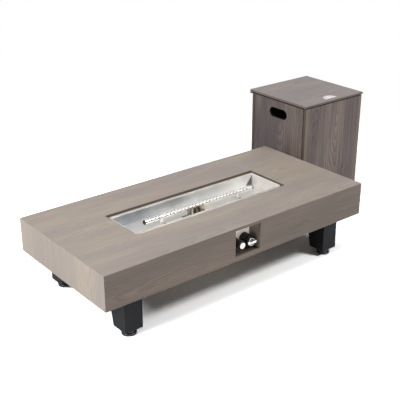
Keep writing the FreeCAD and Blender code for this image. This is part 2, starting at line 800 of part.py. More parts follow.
def make_pilot():
    foot_z = "pan_floor"
    foot = box("pilot_foot", "pilot_right - pilot_foot_left", "pilot_foot_depth", "pilot_sheet",
               "pilot_foot_left", "pilot_face - pilot_foot_depth", foot_z)
    upright = box("pilot_upright", "pilot_right - pilot_left", "pilot_sheet", "pilot_height",
                  "pilot_left", "pilot_face - pilot_sheet", foot_z)
    holes = [cylinder("pilot_hole", "screw_radius + screw_clearance", "3 * pilot_sheet",
                      x, y, "pan_floor - pilot_sheet") for x, y in pan_screw_places()[2:]]
    plate = cut("pilot_cut", fuse("pilot_plate", foot, upright), *holes)

    deck = "pan_floor + pilot_sheet"
    shell = middle_box("hood_shell", "hood_width", "hood_depth", "hood_height")
    inside = box("hood_inside", "hood_width - 2 * hood_wall", "hood_depth", "hood_height",
                 "hood_wall - hood_width / 2", "-hood_depth / 2 - hood_wall", "hood_wall")
    burner = cylinder("hood_burner", "hood_burner_radius", "hood_burner_height")
    hood = fuse("hood", cut("hood_cut", shell, inside), burner)
    put(hood, "hood_x", "pilot_middle", deck)
    sub_part("pilot_bracket", fuse("pilot", plate, hood))

    electrode = turned("electrode", [
        (0, 0), ("electrode_base_radius", 0), ("electrode_base_radius", "electrode_base_height"),
        ("ceramic_radius", "electrode_base_height"),
        ("ceramic_radius", "electrode_base_height + ceramic_height"),
        (0, "electrode_base_height + ceramic_height")])
    foot_of_wire = "electrode_base_height + ceramic_height - wire_bend"
    line = sketch_on(electrode, "XZ_Plane", "wire_line")
    low = Vector(0, worked_out(foot_of_wire), 0)
    bend = worked_out("wire_bend")
    corner_z = worked_out(foot_of_wire + " + wire_bend + wire_rise")
    reach = worked_out("wire_reach")
    line.addGeometry(Part.LineSegment(low, Vector(0, corner_z - bend, 0)))
    line.addGeometry(Part.ArcOfCircle(Part.Circle(Vector(bend, corner_z - bend, 0),
                                                  Vector(0, 0, 1), bend), math.pi / 2, math.pi))
    line.addGeometry(Part.LineSegment(Vector(bend, corner_z, 0), Vector(reach, corner_z, 0)))
    wire = sketch_on(electrode, "XY_Plane", "wire_section")
    bind(wire, **{"AttachmentOffset.Base.z": foot_of_wire})
    circle(wire, "wire_radius")
    pipe = electrode.newObject("PartDesign::AdditivePipe", "wire_pipe")
    pipe.Profile = wire
    pipe.Spine = line
    sub_part("spark_electrode", electrode, "electrode_x", "pilot_middle", deck)

    thermocouple = turned("thermocouple_body", [
        (0, 0), ("thermocouple_base_radius", 0),
        ("thermocouple_base_radius", "thermocouple_base_height"),
        ("thermocouple_radius", "thermocouple_base_height"),
        ("thermocouple_radius", "thermocouple_height - thermocouple_radius"),
        ("thermocouple_radius / 2", "thermocouple_height"), (0, "thermocouple_height")])
    sub_part("thermocouple", thermocouple, "thermocouple_x", "pilot_middle", deck)


def make_valve():
    """The gas valve behind the control plate. Its own Z points out of the niche."""
    def at_valve(node, item):
        sub_part(node, item, "knob_x", "plate_back", "control_height", turn_x)

    block = middle_box("valve_block_box", "valve_block", "valve_block", "valve_depth",
                       z="-valve_depth")
    neck = cylinder("valve_neck", "neck_radius", "neck_length + 1", z=-1)
    outlet = cylinder("valve_outlet", "valve_outlet_radius", "valve_outlet_length + 1",
                      z="-valve_depth - valve_outlet_length")
    inlet = cylinder("valve_inlet", "valve_outlet_radius", "valve_block / 2 + valve_inlet_length",
                     0, 0, "-valve_inlet_back", turn_x)
    bore = cylinder("valve_bore", "plug_radius + running_gap",
                    "valve_depth - valve_floor + neck_length + 1", z="valve_floor - valve_depth")
    at_valve("gas_valve", cut("valve_cut", fuse("valve", block, neck, outlet, inlet), bore))

    plug_back = "(valve_floor - valve_depth + seat_gap)"
    plug_bore = "spindle_radius + running_gap"
    at_valve("valve_plug", turned("plug", [
        (0, plug_back), ("plug_radius", plug_back),
        ("plug_radius", plug_back + " + plug_length"), (plug_bore, plug_back + " + plug_length"),
        (plug_bore, plug_back + " + plug_length - plug_bore"),
        (0, plug_back + " + plug_length - plug_bore")]))

    collar_front = "(neck_length + neck_clearance - seat_gap)"
    collar_back = "(neck_length + neck_clearance - seat_gap - spindle_collar)"
    at_valve("valve_spindle", turned("spindle", [
        (0, "-spindle_tail"), ("spindle_radius", "-spindle_tail"),
        ("spindle_radius", collar_back), ("spindle_collar_radius", collar_back),
        ("spindle_collar_radius", collar_front), ("spindle_radius", collar_front),
        ("spindle_radius", "knob_bore_end - seat_gap"), (0, "knob_bore_end - seat_gap")]))

    plug_front = "(%s + plug_length)" % plug_back
    coil = spring("spindle_coil", "(spindle_radius + plug_radius) / 2", "spring_wire_radius",
                  "(%s - %s)" % (collar_back, plug_front), "spring_turns")
    at_valve("spindle_spring", group("spindle_coils", [put(coil, 0, 0, plug_front)]))

    front, recess = "boss_front", "(boss_front - boss_recess_depth)"
    neck_bore = "neck_radius + neck_clearance"
    spindle_bore = "spindle_radius + boss_spindle_clearance"
    boss = turned("boss", [
        (neck_bore, "plate_thickness"), ("boss_base_radius", "plate_thickness"),
        ("boss_outer_radius", front), ("boss_recess_radius", front),
        ("boss_recess_radius", recess), (spindle_bore, recess),
        (spindle_bore, "neck_length + neck_clearance"), (neck_bore, "neck_length + neck_clearance")])
    at_valve("valve_boss", rounded(boss, "boss_edge", ring_edge("boss_outer_radius", front)))

    knob = turned("knob", [
        ("spindle_radius + running_gap", "knob_back"), ("knob_radius", "knob_back"),
        ("knob_radius", "knob_face"), (0, "knob_face"), (0, "knob_bore_end - grip_width / 2"),
        ("spindle_radius + running_gap", "knob_bore_end - grip_width / 2")])
    doc.recompute()
    rounded(knob, "knob_round", ring_edge("knob_radius", "knob_face"))
    grip = sketch_on(knob, "XY_Plane", "grip_outline")
    bind(grip, **{"AttachmentOffset.Base.z": "grip_back"})
    rectangle(grip, "grip_length", "grip_width")
    pad(knob, grip, "grip_front - grip_back")
    corner = worked_out("grip_length / 2")
    rounded(knob, "grip_round", lambda edge: abs(abs(edge.CenterOfMass.x) - corner) < 0.01
            and abs(edge.CenterOfMass.z - worked_out("(grip_front + grip_back) / 2")) < 0.01)
    deep = sketch_on(knob, "XY_Plane", "knob_bore")
    bind(deep, **{"AttachmentOffset.Base.z": "knob_bore_end"})
    circle(deep, "spindle_radius + running_gap")
    pocket(knob, deep, "knob_bore_end - knob_back + 1")
    at_valve("control_knob", knob)


def make_igniter():
    """The push igniter beside the valve, in the same plane and facing the same way."""
    def at_igniter(node, item):
        sub_part(node, item, "button_x", "plate_back", "control_height", turn_x)

    stem_bore = "button_stem_radius + running_gap"
    at_igniter("igniter_body", turned("igniter", [
        (0, "-barrel_length"), ("barrel_radius", "-barrel_length"),
        ("barrel_radius", "plate_thickness"), ("igniter_radius", "plate_thickness"),
        ("igniter_radius", "igniter_front"), (stem_bore, "igniter_front"),
        (stem_bore, "button_shoulder"), ("button_bore_radius", "button_shoulder"),
        ("button_bore_radius", "-button_bore_tail"), (0, "-button_bore_tail")]))
    collar_end = "igniter_front + collar_length"
    collar = turned("collar", [
        ("collar_bore", "igniter_front"), ("collar_radius", "igniter_front"),
        ("collar_radius", collar_end), ("collar_bore", collar_end)])
    at_igniter("igniter_collar", rounded(collar, "button_round",
                                         ring_edge("collar_radius", collar_end)))
    stem_front = "(button_shoulder - seat_gap)"
    stem_back = "(button_shoulder - seat_gap - button_collar)"
    button = turned("button", [
        (0, stem_back), ("button_collar_radius", stem_back),
        ("button_collar_radius", stem_front), ("button_stem_radius", stem_front),
        ("button_stem_radius", "button_back"), ("button_radius", "button_back"),
        ("button_radius", "button_front"), (0, "button_front")])
    at_igniter("igniter_button", rounded(button, "button_round",
                                         ring_edge("button_radius", "button_front")))
    coil = spring("button_coil", "button_stem_radius", "button_spring_wire",
                  "(%s + button_bore_tail)" % stem_back, "button_spring_turns")
    at_igniter("button_spring", group("button_coils", [put(coil, 0, 0, "-button_bore_tail")]))


def make_gas_run():
    """The pipe from the valve's outlet to the burner's feed, and the fitting for the hose."""
    outlet_y = "plate_back + valve_depth + valve_outlet_length"
    run = worked_out("tube_back - (%s)" % outlet_y)
    rise = worked_out("feed_bottom - control_height")
    bend = worked_out("pipe_bend")
    pipe = new_body("pipe_body")
    line = sketch_on(pipe, "YZ_Plane", "pipe_line")
    line.addGeometry(Part.LineSegment(Vector(), Vector(run - bend, 0, 0)))
    line.addGeometry(Part.ArcOfCircle(Part.Circle(Vector(run - bend, bend, 0),
                                                  Vector(0, 0, 1), bend),
                                      -math.pi / 2, 0))
    line.addGeometry(Part.LineSegment(Vector(run, bend, 0), Vector(run, rise, 0)))
    section = sketch_on(pipe, "XZ_Plane", "pipe_section")
    circle(section, "pipe_radius")
    circle(section, "pipe_bore")
    sweep = pipe.newObject("PartDesign::AdditivePipe", "pipe_sweep")
    sweep.Profile = section
    sweep.Spine = line
    sub_part("burner_gas_pipe", pipe, "knob_x", outlet_y, "control_height")

    hexagon = prism("inlet_hex", "inlet_hex_radius", "inlet_hex_length")
    nose = cylinder("inlet_nose", "inlet_nose_radius", "inlet_nose_length", z="inlet_hex_length")
    bore = cylinder("inlet_hole", "inlet_bore", "3 * inlet_nose_length", z="inlet_hex_length / 2")
    sub_part("gas_inlet", cut("inlet_cut", fuse("inlet", hexagon, nose), bore),
             "knob_x", "plate_back + valve_inlet_back",
             "control_height - valve_block / 2 - valve_inlet_length", upside_down)


def make_cover_panels():
    height = "body_top - glide_height"
    for side, y in (("front", "body_front"),
                    ("back", "body_front + body_depth - panel_thickness")):
        panel = box(side + "_panel_board", "body_length", "panel_thickness", height)
        sub_part("cover_%s_panel" % side, panel, "body_left", y, "glide_height")
    depth = "(body_depth - 2 * panel_thickness - 2 * shadow_gap)"
    for side, x in (("left", "body_left"),
                    ("right", "body_left + body_length - panel_thickness")):
        panel = box(side + "_panel_board", "panel_thickness", depth, height)
        slot = make_hand_slot(side, depth)
        sub_part("cover_%s_panel" % side, cut(side + "_panel_cut", panel, *slot),
                 x, "body_front + panel_thickness + shadow_gap", "glide_height")


def make_hand_slot(side, depth):
    """The tools that cut a slot with round ends through a side panel."""
    middle, up = depth + " / 2", "cover_height - slot_drop - glide_height"
    reach = "(slot_length - slot_height) / 2"
    tools = [box(side + "_slot_middle", "3 * panel_thickness", "slot_length - slot_height",
                 "slot_height", "-panel_thickness", "%s - %s" % (middle, reach),
                 up + " - slot_height / 2")]
    for sign in "-+":
        tools.append(cylinder(side + "_slot_end", "slot_height / 2", "3 * panel_thickness",
                              "-panel_thickness", "%s %s %s" % (middle, sign, reach), up, turn_y))
    return tools


def cover_corners():
    """The four inner corners of the tank cover, with the directions that lead into it."""
    left, right = "body_left + panel_thickness", "body_left + body_length - panel_thickness"
    near, far = "body_front + panel_thickness", "body_front + body_depth - panel_thickness"
    return [(left, near, 1, 1), (right, near, -1, 1), (right, far, -1, -1), (left, far, 1, -1)]


def make_cover_fittings():
    cleats, glides, pads = [], [], []
    for x, y, to_x, to_y in cover_corners():
        cleats.append(middle_box("cleat", "cleat_size", "cleat_size", "body_top - glide_height",
                                 "%s + %d * cleat_size / 2" % (x, to_x),
                                 "%s + %d * cleat_size / 2" % (y, to_y), "glide_height"))
        glides.append(cylinder("glide", "glide_radius", "glide_height",
                               "%s + %d * cleat_size / 2" % (x, to_x),
                               "%s + %d * cleat_size / 2" % (y, to_y)))
        pads.append(cylinder("lid_pad", "pad_radius", "lid_gap",
                             "%s + %d * cleat_size / 2" % (x, to_x),
                             "%s + %d * cleat_size / 2" % (y, to_y), "body_top"))
    sub_part("cover_cleats", group("cleats", cleats))
    sub_part("cover_glides", group("glides", glides))
    sub_part("lid_pads", group("pads", pads))


def half_round(name, radius, lip, height, z):
    """A half disc whose flat side lies lip below its centre line, with its arch towards +Y."""
    disc = cylinder(name + "_disc", radius, height, 0, 0, z, angle=180)
    strip = middle_box(name + "_strip", "2 * (%s)" % radius, lip, height, 0,
                       "-(%s) / 2" % lip, z)
    return fuse(name, disc, strip)


def make_lid():
    board = box("lid_board", "lid_length", "lid_depth", "lid_thickness", "-lid_length / 2")
    rail = box("lid_rail", "lid_length", "lid_back_overhang - hinge_leaf - hinge_end_gap",
               "lid_rail_height", "-lid_length / 2",
               "lid_depth - lid_back_overhang + hinge_leaf + hinge_end_gap", "-lid_rail_height")
    hole = half_round("lid_hole", "pull_radius + pull_clearance", "pull_clearance",
                      "3 * lid_thickness", "-lid_thickness")
    put(hole, 0, "pull_inset")
    sub_part("cover_lid", cut("lid_cut", fuse("lid", board, rail), hole),
             "cover_middle_x", "cover_front", "lid_bottom")

    lip = half_round("pull_lip_plate", "pull_radius + pull_lip", "pull_lip", "pull_lip_height", 0)
    cup = cylinder("pull_cup", "pull_radius", "pull_depth", 0, 0, "-pull_depth", angle=180)
    hollow = cylinder("pull_hollow", "pull_radius - 2 * pull_wall",
                      "pull_depth + 2 * pull_lip_height", 0, "pull_wall",
                      "pull_wall - pull_depth", angle=180)
    sub_part("lid_pull", cut("pull_cut", fuse("pull", lip, cup), hollow),
             "cover_middle_x", "cover_front + pull_inset", "cover_height")


def knuckle(name, radius, x, width):
    return cylinder(name, radius, width, x, 0, 0, turn_y)


def make_hinges():
    """Two hinges under the lid's back rail. Their own X is the pin, their place its middle."""
    third = "hinge_width / 3"
    outer_x = "-hinge_width / 2"
    fixed, moving, pins = [], [], []
    for sign in "-+":
        x = "cover_middle_x %s hinge_spacing / 2" % sign
        plate_y = "(body_front + body_depth - hinge_y)"
        plate = box("fixed_plate", "hinge_width", "hinge_leaf", "hinge_leaf_drop",
                    outer_x, plate_y, "-hinge_leaf_drop")
        knuckles = []
        for start in (outer_x, "hinge_width / 6 + hinge_end_gap"):
            width = third + " - hinge_end_gap"
            knuckles.append(knuckle("fixed_knuckle", "hinge_radius", start, width))
            knuckles.append(box("fixed_web", width, "-" + plate_y, "hinge_radius / 2",
                                start, plate_y, "-hinge_radius / 2"))
        bore = knuckle("fixed_bore", "hinge_pin_radius + running_gap", "-hinge_width",
                       "2 * hinge_width")
        fixed.append(put(cut("fixed_leaf", fuse("fixed_whole", plate, *knuckles), bore),
                         x, "hinge_y", "hinge_z"))

        top = "hinge_radius + seat_gap"
        middle = "-hinge_width / 6"
        leaf = box("moving_plate", "hinge_width", "2 * hinge_radius", "hinge_leaf",
                   outer_x, "-hinge_radius", top)
        loop = knuckle("moving_knuckle", "hinge_radius", middle, third)
        web = box("moving_web", third, "1.6 * hinge_radius", top, middle, "-0.8 * hinge_radius")
        pin_bore = knuckle("moving_bore", "hinge_pin_radius + running_gap", "-hinge_width",
                           "2 * hinge_width")
        moving.append(put(cut("moving_leaf", fuse("moving_whole", leaf, loop, web), pin_bore),
                          x, "hinge_y", "hinge_z"))
        pins.append(put(knuckle("hinge_pin", "hinge_pin_radius", 0, "hinge_width"),
                        x + " - hinge_width / 2", "hinge_y", "hinge_z"))
    sub_part("lid_hinge_fixed_leaves", group("fixed_leaves", fixed))
    sub_part("lid_hinge_moving_leaves", group("moving_leaves", moving))
    sub_part("lid_hinge_pins", group("hinge_pins", pins))


def check_and_write():
    doc.recompute()
    faults = []
    for item in doc.Objects:
        if {"Invalid", "Error"} & set(item.State):
            faults.append("%s (%s) is %s" % (item.Name, item.Label, item.State))
    for node, item in sub_parts.items():
        shape = item.Shape
        if shape.isNull() or not shape.isValid() or not shape.Solids:
            faults.append("%s has no valid solid" % node)
    if faults:
        raise RuntimeError("; ".join(faults))
    os.makedirs("parts", exist_ok=True)
    for node, item in sub_parts.items():
        item.Shape.exportStep("parts/%s.step" % node)
        print("%-26s solids %2d  volume %12.1f" % (node, len(item.Shape.Solids),
                                                   item.Shape.Volume))
    print(len(sub_parts), "sub-parts")


make_top()
make_aprons()
make_niche()
make_frame()
make_leg_channels()
make_legs()
make_pan()
make_burner()
make_pilot()
make_valve()
make_igniter()
make_gas_run()
make_cover_panels()
make_cover_fittings()
make_lid()
make_hinges()
check_and_write()
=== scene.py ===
import math
import bmesh
import bpy
import numpy as np
from mathutils import Euler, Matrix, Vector


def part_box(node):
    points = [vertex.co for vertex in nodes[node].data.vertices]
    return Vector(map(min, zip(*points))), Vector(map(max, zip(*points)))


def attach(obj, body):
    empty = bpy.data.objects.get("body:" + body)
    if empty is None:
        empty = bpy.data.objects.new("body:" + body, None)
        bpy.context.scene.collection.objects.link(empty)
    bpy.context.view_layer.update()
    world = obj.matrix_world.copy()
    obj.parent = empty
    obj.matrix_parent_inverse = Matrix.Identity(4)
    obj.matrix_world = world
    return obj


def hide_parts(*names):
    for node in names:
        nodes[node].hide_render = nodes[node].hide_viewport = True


# A low fire pit table with its burner pan, controls and screw feet, and the matching
# cover for its gas bottle. Metres; X along the table, -Y the side with the controls, Z up.

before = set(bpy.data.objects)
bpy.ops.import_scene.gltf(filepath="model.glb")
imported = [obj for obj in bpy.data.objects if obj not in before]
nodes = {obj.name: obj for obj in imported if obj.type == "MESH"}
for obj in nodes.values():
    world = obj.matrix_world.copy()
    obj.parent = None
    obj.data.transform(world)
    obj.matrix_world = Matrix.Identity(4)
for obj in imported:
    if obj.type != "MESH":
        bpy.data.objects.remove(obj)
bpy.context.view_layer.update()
print("frame loaded:", len(nodes), "nodes")


# Shader trees: settings are a node's own options, inputs its socket values or links.
def addNode(tree, kind, settings=None, **inputs):
    item = tree.nodes.new("ShaderNode" + kind)
    for name, value in (settings or {}).items():
        setattr(item, name, value)
    for name, value in inputs.items():
        putIn(tree, item.inputs[int(name[1:]) if name[0] == "_" else name], value)
    return item


def putIn(tree, socket, value):
    if isinstance(value, bpy.types.NodeSocket):
        tree.links.new(value, socket)
    elif socket.type == "RGBA" and len(value) == 3:
        socket.default_value = (*value, 1)
    else:
        socket.default_value = value


def calc(tree, operation, *values):
    named = {"_%d" % index: value for index, value in enumerate(values)}
    return addNode(tree, "Math", {"operation": operation}, **named).outputs[0]


def ramp(tree, value, low, high, fromLow=0.0, fromHigh=1.0):
    item = addNode(tree, "MapRange", {"clamp": True, "interpolation_type": "SMOOTHSTEP"},
                   _0=value, _1=fromLow, _2=fromHigh, _3=low, _4=high)
    return item.outputs[0]


def blendColours(tree, amount, first, second, mode="MIX"):
    item = addNode(tree, "Mix", {"data_type": "RGBA", "blend_type": mode},
                   _0=amount, _6=first, _7=second)
    return item.outputs[2]


def newGroup(name, inputs, outputs):
    group = bpy.data.node_groups.new(name, "ShaderNodeTree")
    for label, kind, value in inputs:
        socket = group.interface.new_socket(label, in_out="INPUT", socket_type="NodeSocket" + kind)
        if value is not None:
            socket.default_value = value
    for label, kind in outputs:
        group.interface.new_socket(label, in_out="OUTPUT", socket_type="NodeSocket" + kind)
    return group, group.nodes.new("NodeGroupInput").outputs, group.nodes.new("NodeGroupOutput")


def stretched(tree, vector, along, across, through):
    return addNode(tree, "VectorMath", {"operation": "MULTIPLY"},
                   _0=vector, _1=(along, across, through)).outputs[0]


def noise(tree, vector, scale=1.0, detail=2.0, rough=0.5):
    return addNode(tree, "TexNoise", {}, Vector=vector, Scale=scale, Detail=detail,
                   Roughness=rough).outputs[0]


def grey(tree, level):
    return addNode(tree, "CombineColor", {}, _0=level, _1=level, _2=level).outputs[0]


# The three parts of a point's place, and of the direction that its face looks in.
def placeParts(tree):
    return addNode(tree, "SeparateXYZ", {}, _0=addNode(tree, "TexCoord").outputs["Object"]).outputs


def facingParts(tree):
    normal = addNode(tree, "NewGeometry").outputs["True Normal"]
    return addNode(tree, "SeparateXYZ", {}, _0=normal).outputs


# 1 where a value lies within reach of the middle.
def within(tree, value, middle, reach):
    off = calc(tree, "ABSOLUTE", calc(tree, "SUBTRACT", value, middle))
    return calc(tree, "LESS_THAN", off, reach)


# 1 on faces that look mostly along the axis of this part of their direction.
def facesAlong(tree, part, least):
    return calc(tree, "GREATER_THAN", calc(tree, "ABSOLUTE", part), least)


# Sawn wood with its grain along X. A board cuts the year rings of a leaning trunk, so the
# ring number is sqrt(v*v + d*d) / gap, with v across the board and d growing along it.
def makeWoodFigure():
    group, given, out = newGroup("woodFigure", [
        ("Vector", "Vector", None), ("Arch Width", "Float", 0.09), ("Ring Gap", "Float", 0.006),
        ("Lean", "Float", 0.05), ("Wander", "Float", 0.01), ("Pores", "Float", 0.5)],
        [("Figure", "Float"), ("Pores", "Float"), ("Tone", "Float"), ("Fibres", "Float")])
    parts = addNode(group, "SeparateXYZ", {}, _0=given["Vector"]).outputs
    # a slow drift and a fine ripple bend the grain sideways
    slow = noise(group, stretched(group, given["Vector"], 2.2, 9.0, 9.0), detail=3.0)
    fine = noise(group, stretched(group, given["Vector"], 9.0, 60.0, 60.0))
    drift = calc(group, "MULTIPLY", calc(group, "SUBTRACT", slow, 0.5), given["Wander"])
    ripple = calc(group, "MULTIPLY", calc(group, "SUBTRACT", fine, 0.5),
                  calc(group, "MULTIPLY", given["Wander"], 0.12))
    across = calc(group, "ADD", calc(group, "MULTIPLY_ADD", drift, 4.0, parts[1]), ripple)
    v = calc(group, "PINGPONG", across, given["Arch Width"])
    # each strip of the veneer starts at another place along the trunk
    leaf = noise(group, stretched(group, given["Vector"], 0.0, 3.0, 1.0), detail=0.0)
    start = calc(group, "MULTIPLY_ADD", leaf, 1.7, parts[0])
    d = calc(group, "MULTIPLY", calc(group, "PINGPONG", start, 0.75), given["Lean"])
    radius = calc(group, "SQRT", calc(group, "ADD", calc(group, "MULTIPLY", v, v),
                                      calc(group, "MULTIPLY", d, d)))
    rings = calc(group, "ADD", calc(group, "DIVIDE", radius, given["Ring Gap"]),
                 calc(group, "MULTIPLY", slow, 2.0))
    # a year ring darkens slowly and ends sharply
    saw = calc(group, "FRACT", rings)
    late = calc(group, "MULTIPLY", calc(group, "POWER", saw, 2.2),
                ramp(group, saw, 1.0, 0.0, 0.86, 1.0))
    # pores are short thin lines, denser in the dark part of a ring
    thin = noise(group, stretched(group, given["Vector"], 26.0, 1500.0, 1500.0), detail=1.0)
    pores = calc(group, "MULTIPLY", ramp(group, thin, 0.0, 1.0, 0.52, 0.7),
                 calc(group, "MULTIPLY_ADD", late, 0.7, 0.3))
    tone = noise(group, stretched(group, given["Vector"], 1.1, 7.0, 7.0), detail=4.0, rough=0.6)
    fibres = noise(group, stretched(group, given["Vector"], 3.0, 230.0, 230.0), detail=3.0,
                   rough=0.6)
    group.links.new(fibres, out.inputs["Fibres"])
    group.links.new(late, out.inputs["Figure"])
    group.links.new(calc(group, "MULTIPLY", pores, given["Pores"]), out.inputs["Pores"])
    group.links.new(tone, out.inputs["Tone"])
    return group


# Fine straight scratches along X, as a brush leaves them in sheet metal.
def makeBrushing():
    group, given, out = newGroup("brushing", [
        ("Vector", "Vector", None), ("Length", "Float", 12.0), ("Fineness", "Float", 900.0)],
        [("Scratches", "Float"), ("Clouds", "Float")])
    parts = addNode(group, "SeparateXYZ", {}, _0=given["Vector"]).outputs
    line = addNode(group, "CombineXYZ", {}, _0=calc(group, "MULTIPLY", parts[0], given["Length"]),
                   _1=calc(group, "MULTIPLY", parts[1], given["Fineness"]),
                   _2=calc(group, "MULTIPLY", parts[2], given["Fineness"])).outputs[0]
    group.links.new(noise(group, line, detail=3.0, rough=0.65), out.inputs["Scratches"])
    group.links.new(noise(group, given["Vector"], scale=9.0, detail=3.0), out.inputs["Clouds"])
    return group


# Orange peel and fine speckle, for paint, powder coat and moulded plastic.
def makeSpeckle():
    group, given, out = newGroup("speckle", [
        ("Vector", "Vector", None), ("Grain", "Float", 1400.0), ("Patches", "Float", 6.0)],
        [("Grain", "Float"), ("Patches", "Float")])
    fine = noise(group, given["Vector"], given["Grain"], rough=0.6)
    wide = noise(group, given["Vector"], given["Patches"], detail=3.0, rough=0.55)
    group.links.new(fine, out.inputs["Grain"])
    group.links.new(wide, out.inputs["Patches"])
    return group


woodFigure, brushing, speckle = makeWoodFigure(), makeBrushing(), makeSpeckle()
print("shader groups made")


def newMaterial(name):
    material = bpy.data.materials.new(name)
    material.use_nodes = True
    tree = material.node_tree
    shader = tree.nodes["Principled BSDF"]
    return material, tree, shader


def useGroup(tree, group, vector, **values):
    item = tree.nodes.new("ShaderNodeGroup")
    item.node_tree = group
    putIn(tree, item.inputs["Vector"], vector)
    for name, value in values.items():
        item.inputs[name].default_value = value
    return item.outputs


def objectPlace(tree, turn=(0, 0, 0), shift=(0, 0, 0)):
    place = addNode(tree, "TexCoord").outputs["Object"]
    return addNode(tree, "Mapping", {}, Vector=place, Location=shift, Rotation=turn).outputs[0]


def relief(tree, shader, height, depth, edge=0.0):
    item = addNode(tree, "Bump", {}, Strength=1.0, Distance=depth, Height=height)
    if edge:
        rounding = addNode(tree, "Bevel", {"samples": 4}, Radius=edge)
        tree.links.new(rounding.outputs[0], item.inputs["Normal"])
    tree.links.new(item.outputs[0], shader.inputs["Normal"])


quarter = math.pi / 2
alongX = (0, 0, 0)
alongXUpright = (quarter, 0, 0)         # grain along X on a wall that faces Y
alongZFacingX = (0, quarter, 0)         # grain up a wall that faces X
alongZFacingY = (quarter, 0, quarter)   # grain up a wall that faces Y
alongY = (0, 0, quarter)

# Lengths in metres: arch is half the width of one arched figure, gap the distance of its
# rings. Streaks and fibres say how far the tone swings.
woodLooks = {
    "tableTopWood": {"light": (0.418, 0.354, 0.294), "mauve": (0.375, 0.322, 0.293),
                     "dark": (0.318, 0.265, 0.222), "pore": (0.25, 0.205, 0.17),
                     "turn": alongX, "shift": (0.2, 0.05, 0), "arch": 0.17, "gap": 0.0085,
                     "lean": 0.06, "wander": 0.03, "pores": 0.35, "streaks": 0.08,
                     "fibres": 0.07},
    # darker than the top: partly the boards' own tone, partly painted shade of the front
    "tableFrontWoodShaded": {"light": (0.385, 0.312, 0.255), "mauve": (0.338, 0.275, 0.240),
                       "dark": (0.25, 0.199, 0.162), "pore": (0.19, 0.15, 0.122),
                       "turn": alongXUpright, "shift": (0.5, 0.02, 0.3), "arch": 0.11,
                       "gap": 0.0085, "lean": 0.05, "wander": 0.025, "pores": 0.4,
                       "streaks": 0.12, "fibres": 0.09},
    # painted shade: the front's wood at about a third of its tone, for the shaded niche floor
    "nicheFloorWoodShaded": {"light": (0.135, 0.106, 0.088), "mauve": (0.118, 0.094, 0.082),
                       "dark": (0.085, 0.066, 0.054), "pore": (0.06, 0.047, 0.04),
                       "turn": alongX, "shift": (0.1, 0.2, 0.1), "arch": 0.11, "gap": 0.0085,
                       "lean": 0.05, "wander": 0.025, "pores": 0.4, "streaks": 0.12,
                       "fibres": 0.09},
    # painted light: a lighter copy of the table's wood, for the brightly lit end boards
    "tableEndWoodLit": {"light": (0.515, 0.441, 0.370), "mauve": (0.478, 0.415, 0.373),
                     "dark": (0.42, 0.352, 0.292), "pore": (0.33, 0.272, 0.225),
                     "turn": alongZFacingX, "shift": (0.1, 0.3, 0.6), "arch": 0.15,
                     "gap": 0.009, "lean": 0.1, "wander": 0.03, "pores": 0.35,
                     "streaks": 0.07, "fibres": 0.06},
    "coverFrontWood": {"light": (0.345, 0.275, 0.238), "mauve": (0.245, 0.197, 0.195),
                       "dark": (0.118, 0.092, 0.091), "pore": (0.095, 0.075, 0.07),
                       "turn": alongZFacingY, "shift": (0.3, 0.0, 0.1), "arch": 0.094,
                       "gap": 0.0098, "lean": 0.15, "wander": 0.024, "pores": 0.5,
                       "streaks": 0.22, "fibres": 0.26},
    # painted shade: the cover's wood about two thirds as light, on its side panels and cleats
    "coverSideWoodShaded": {"light": (0.23, 0.183, 0.157), "mauve": (0.155, 0.125, 0.125),
                      "dark": (0.078, 0.061, 0.061), "pore": (0.062, 0.049, 0.046),
                      "turn": alongZFacingX, "shift": (0.2, 0.0, 0.4), "arch": 0.094,
                      "gap": 0.0098, "lean": 0.15, "wander": 0.024, "pores": 0.5,
                      "streaks": 0.22, "fibres": 0.26},
    "coverLidWood": {"light": (0.325, 0.280, 0.257), "mauve": (0.295, 0.261, 0.255),
                     "dark": (0.235, 0.202, 0.192), "pore": (0.17, 0.145, 0.136),
                     "turn": alongX, "shift": (0.4, 0.1, 0.2), "arch": 0.11, "gap": 0.0085,
                     "lean": 0.08, "wander": 0.022, "pores": 0.45, "streaks": 0.1,
                     "fibres": 0.1},
}
edgeWoods = {
    # partly the cut wood's own tone, partly painted shade of the opening's walls
    "opening": {"light": (0.20, 0.155, 0.122), "dark": (0.12, 0.09, 0.07)},
    "lid": {"light": (0.27, 0.225, 0.195), "dark": (0.185, 0.15, 0.13)},
    "corner": {"light": (0.36, 0.30, 0.25), "dark": (0.27, 0.22, 0.185)},
    # painted shade of the gaps at the cover's corners
    "cut": {"light": (0.135, 0.10, 0.079), "dark": (0.09, 0.066, 0.052)},
    # painted shade: near black, for the shade under the lid and inside the hand slots
    "paintedShade": {"light": (0.014, 0.011, 0.010), "dark": (0.008, 0.007, 0.006)},
}


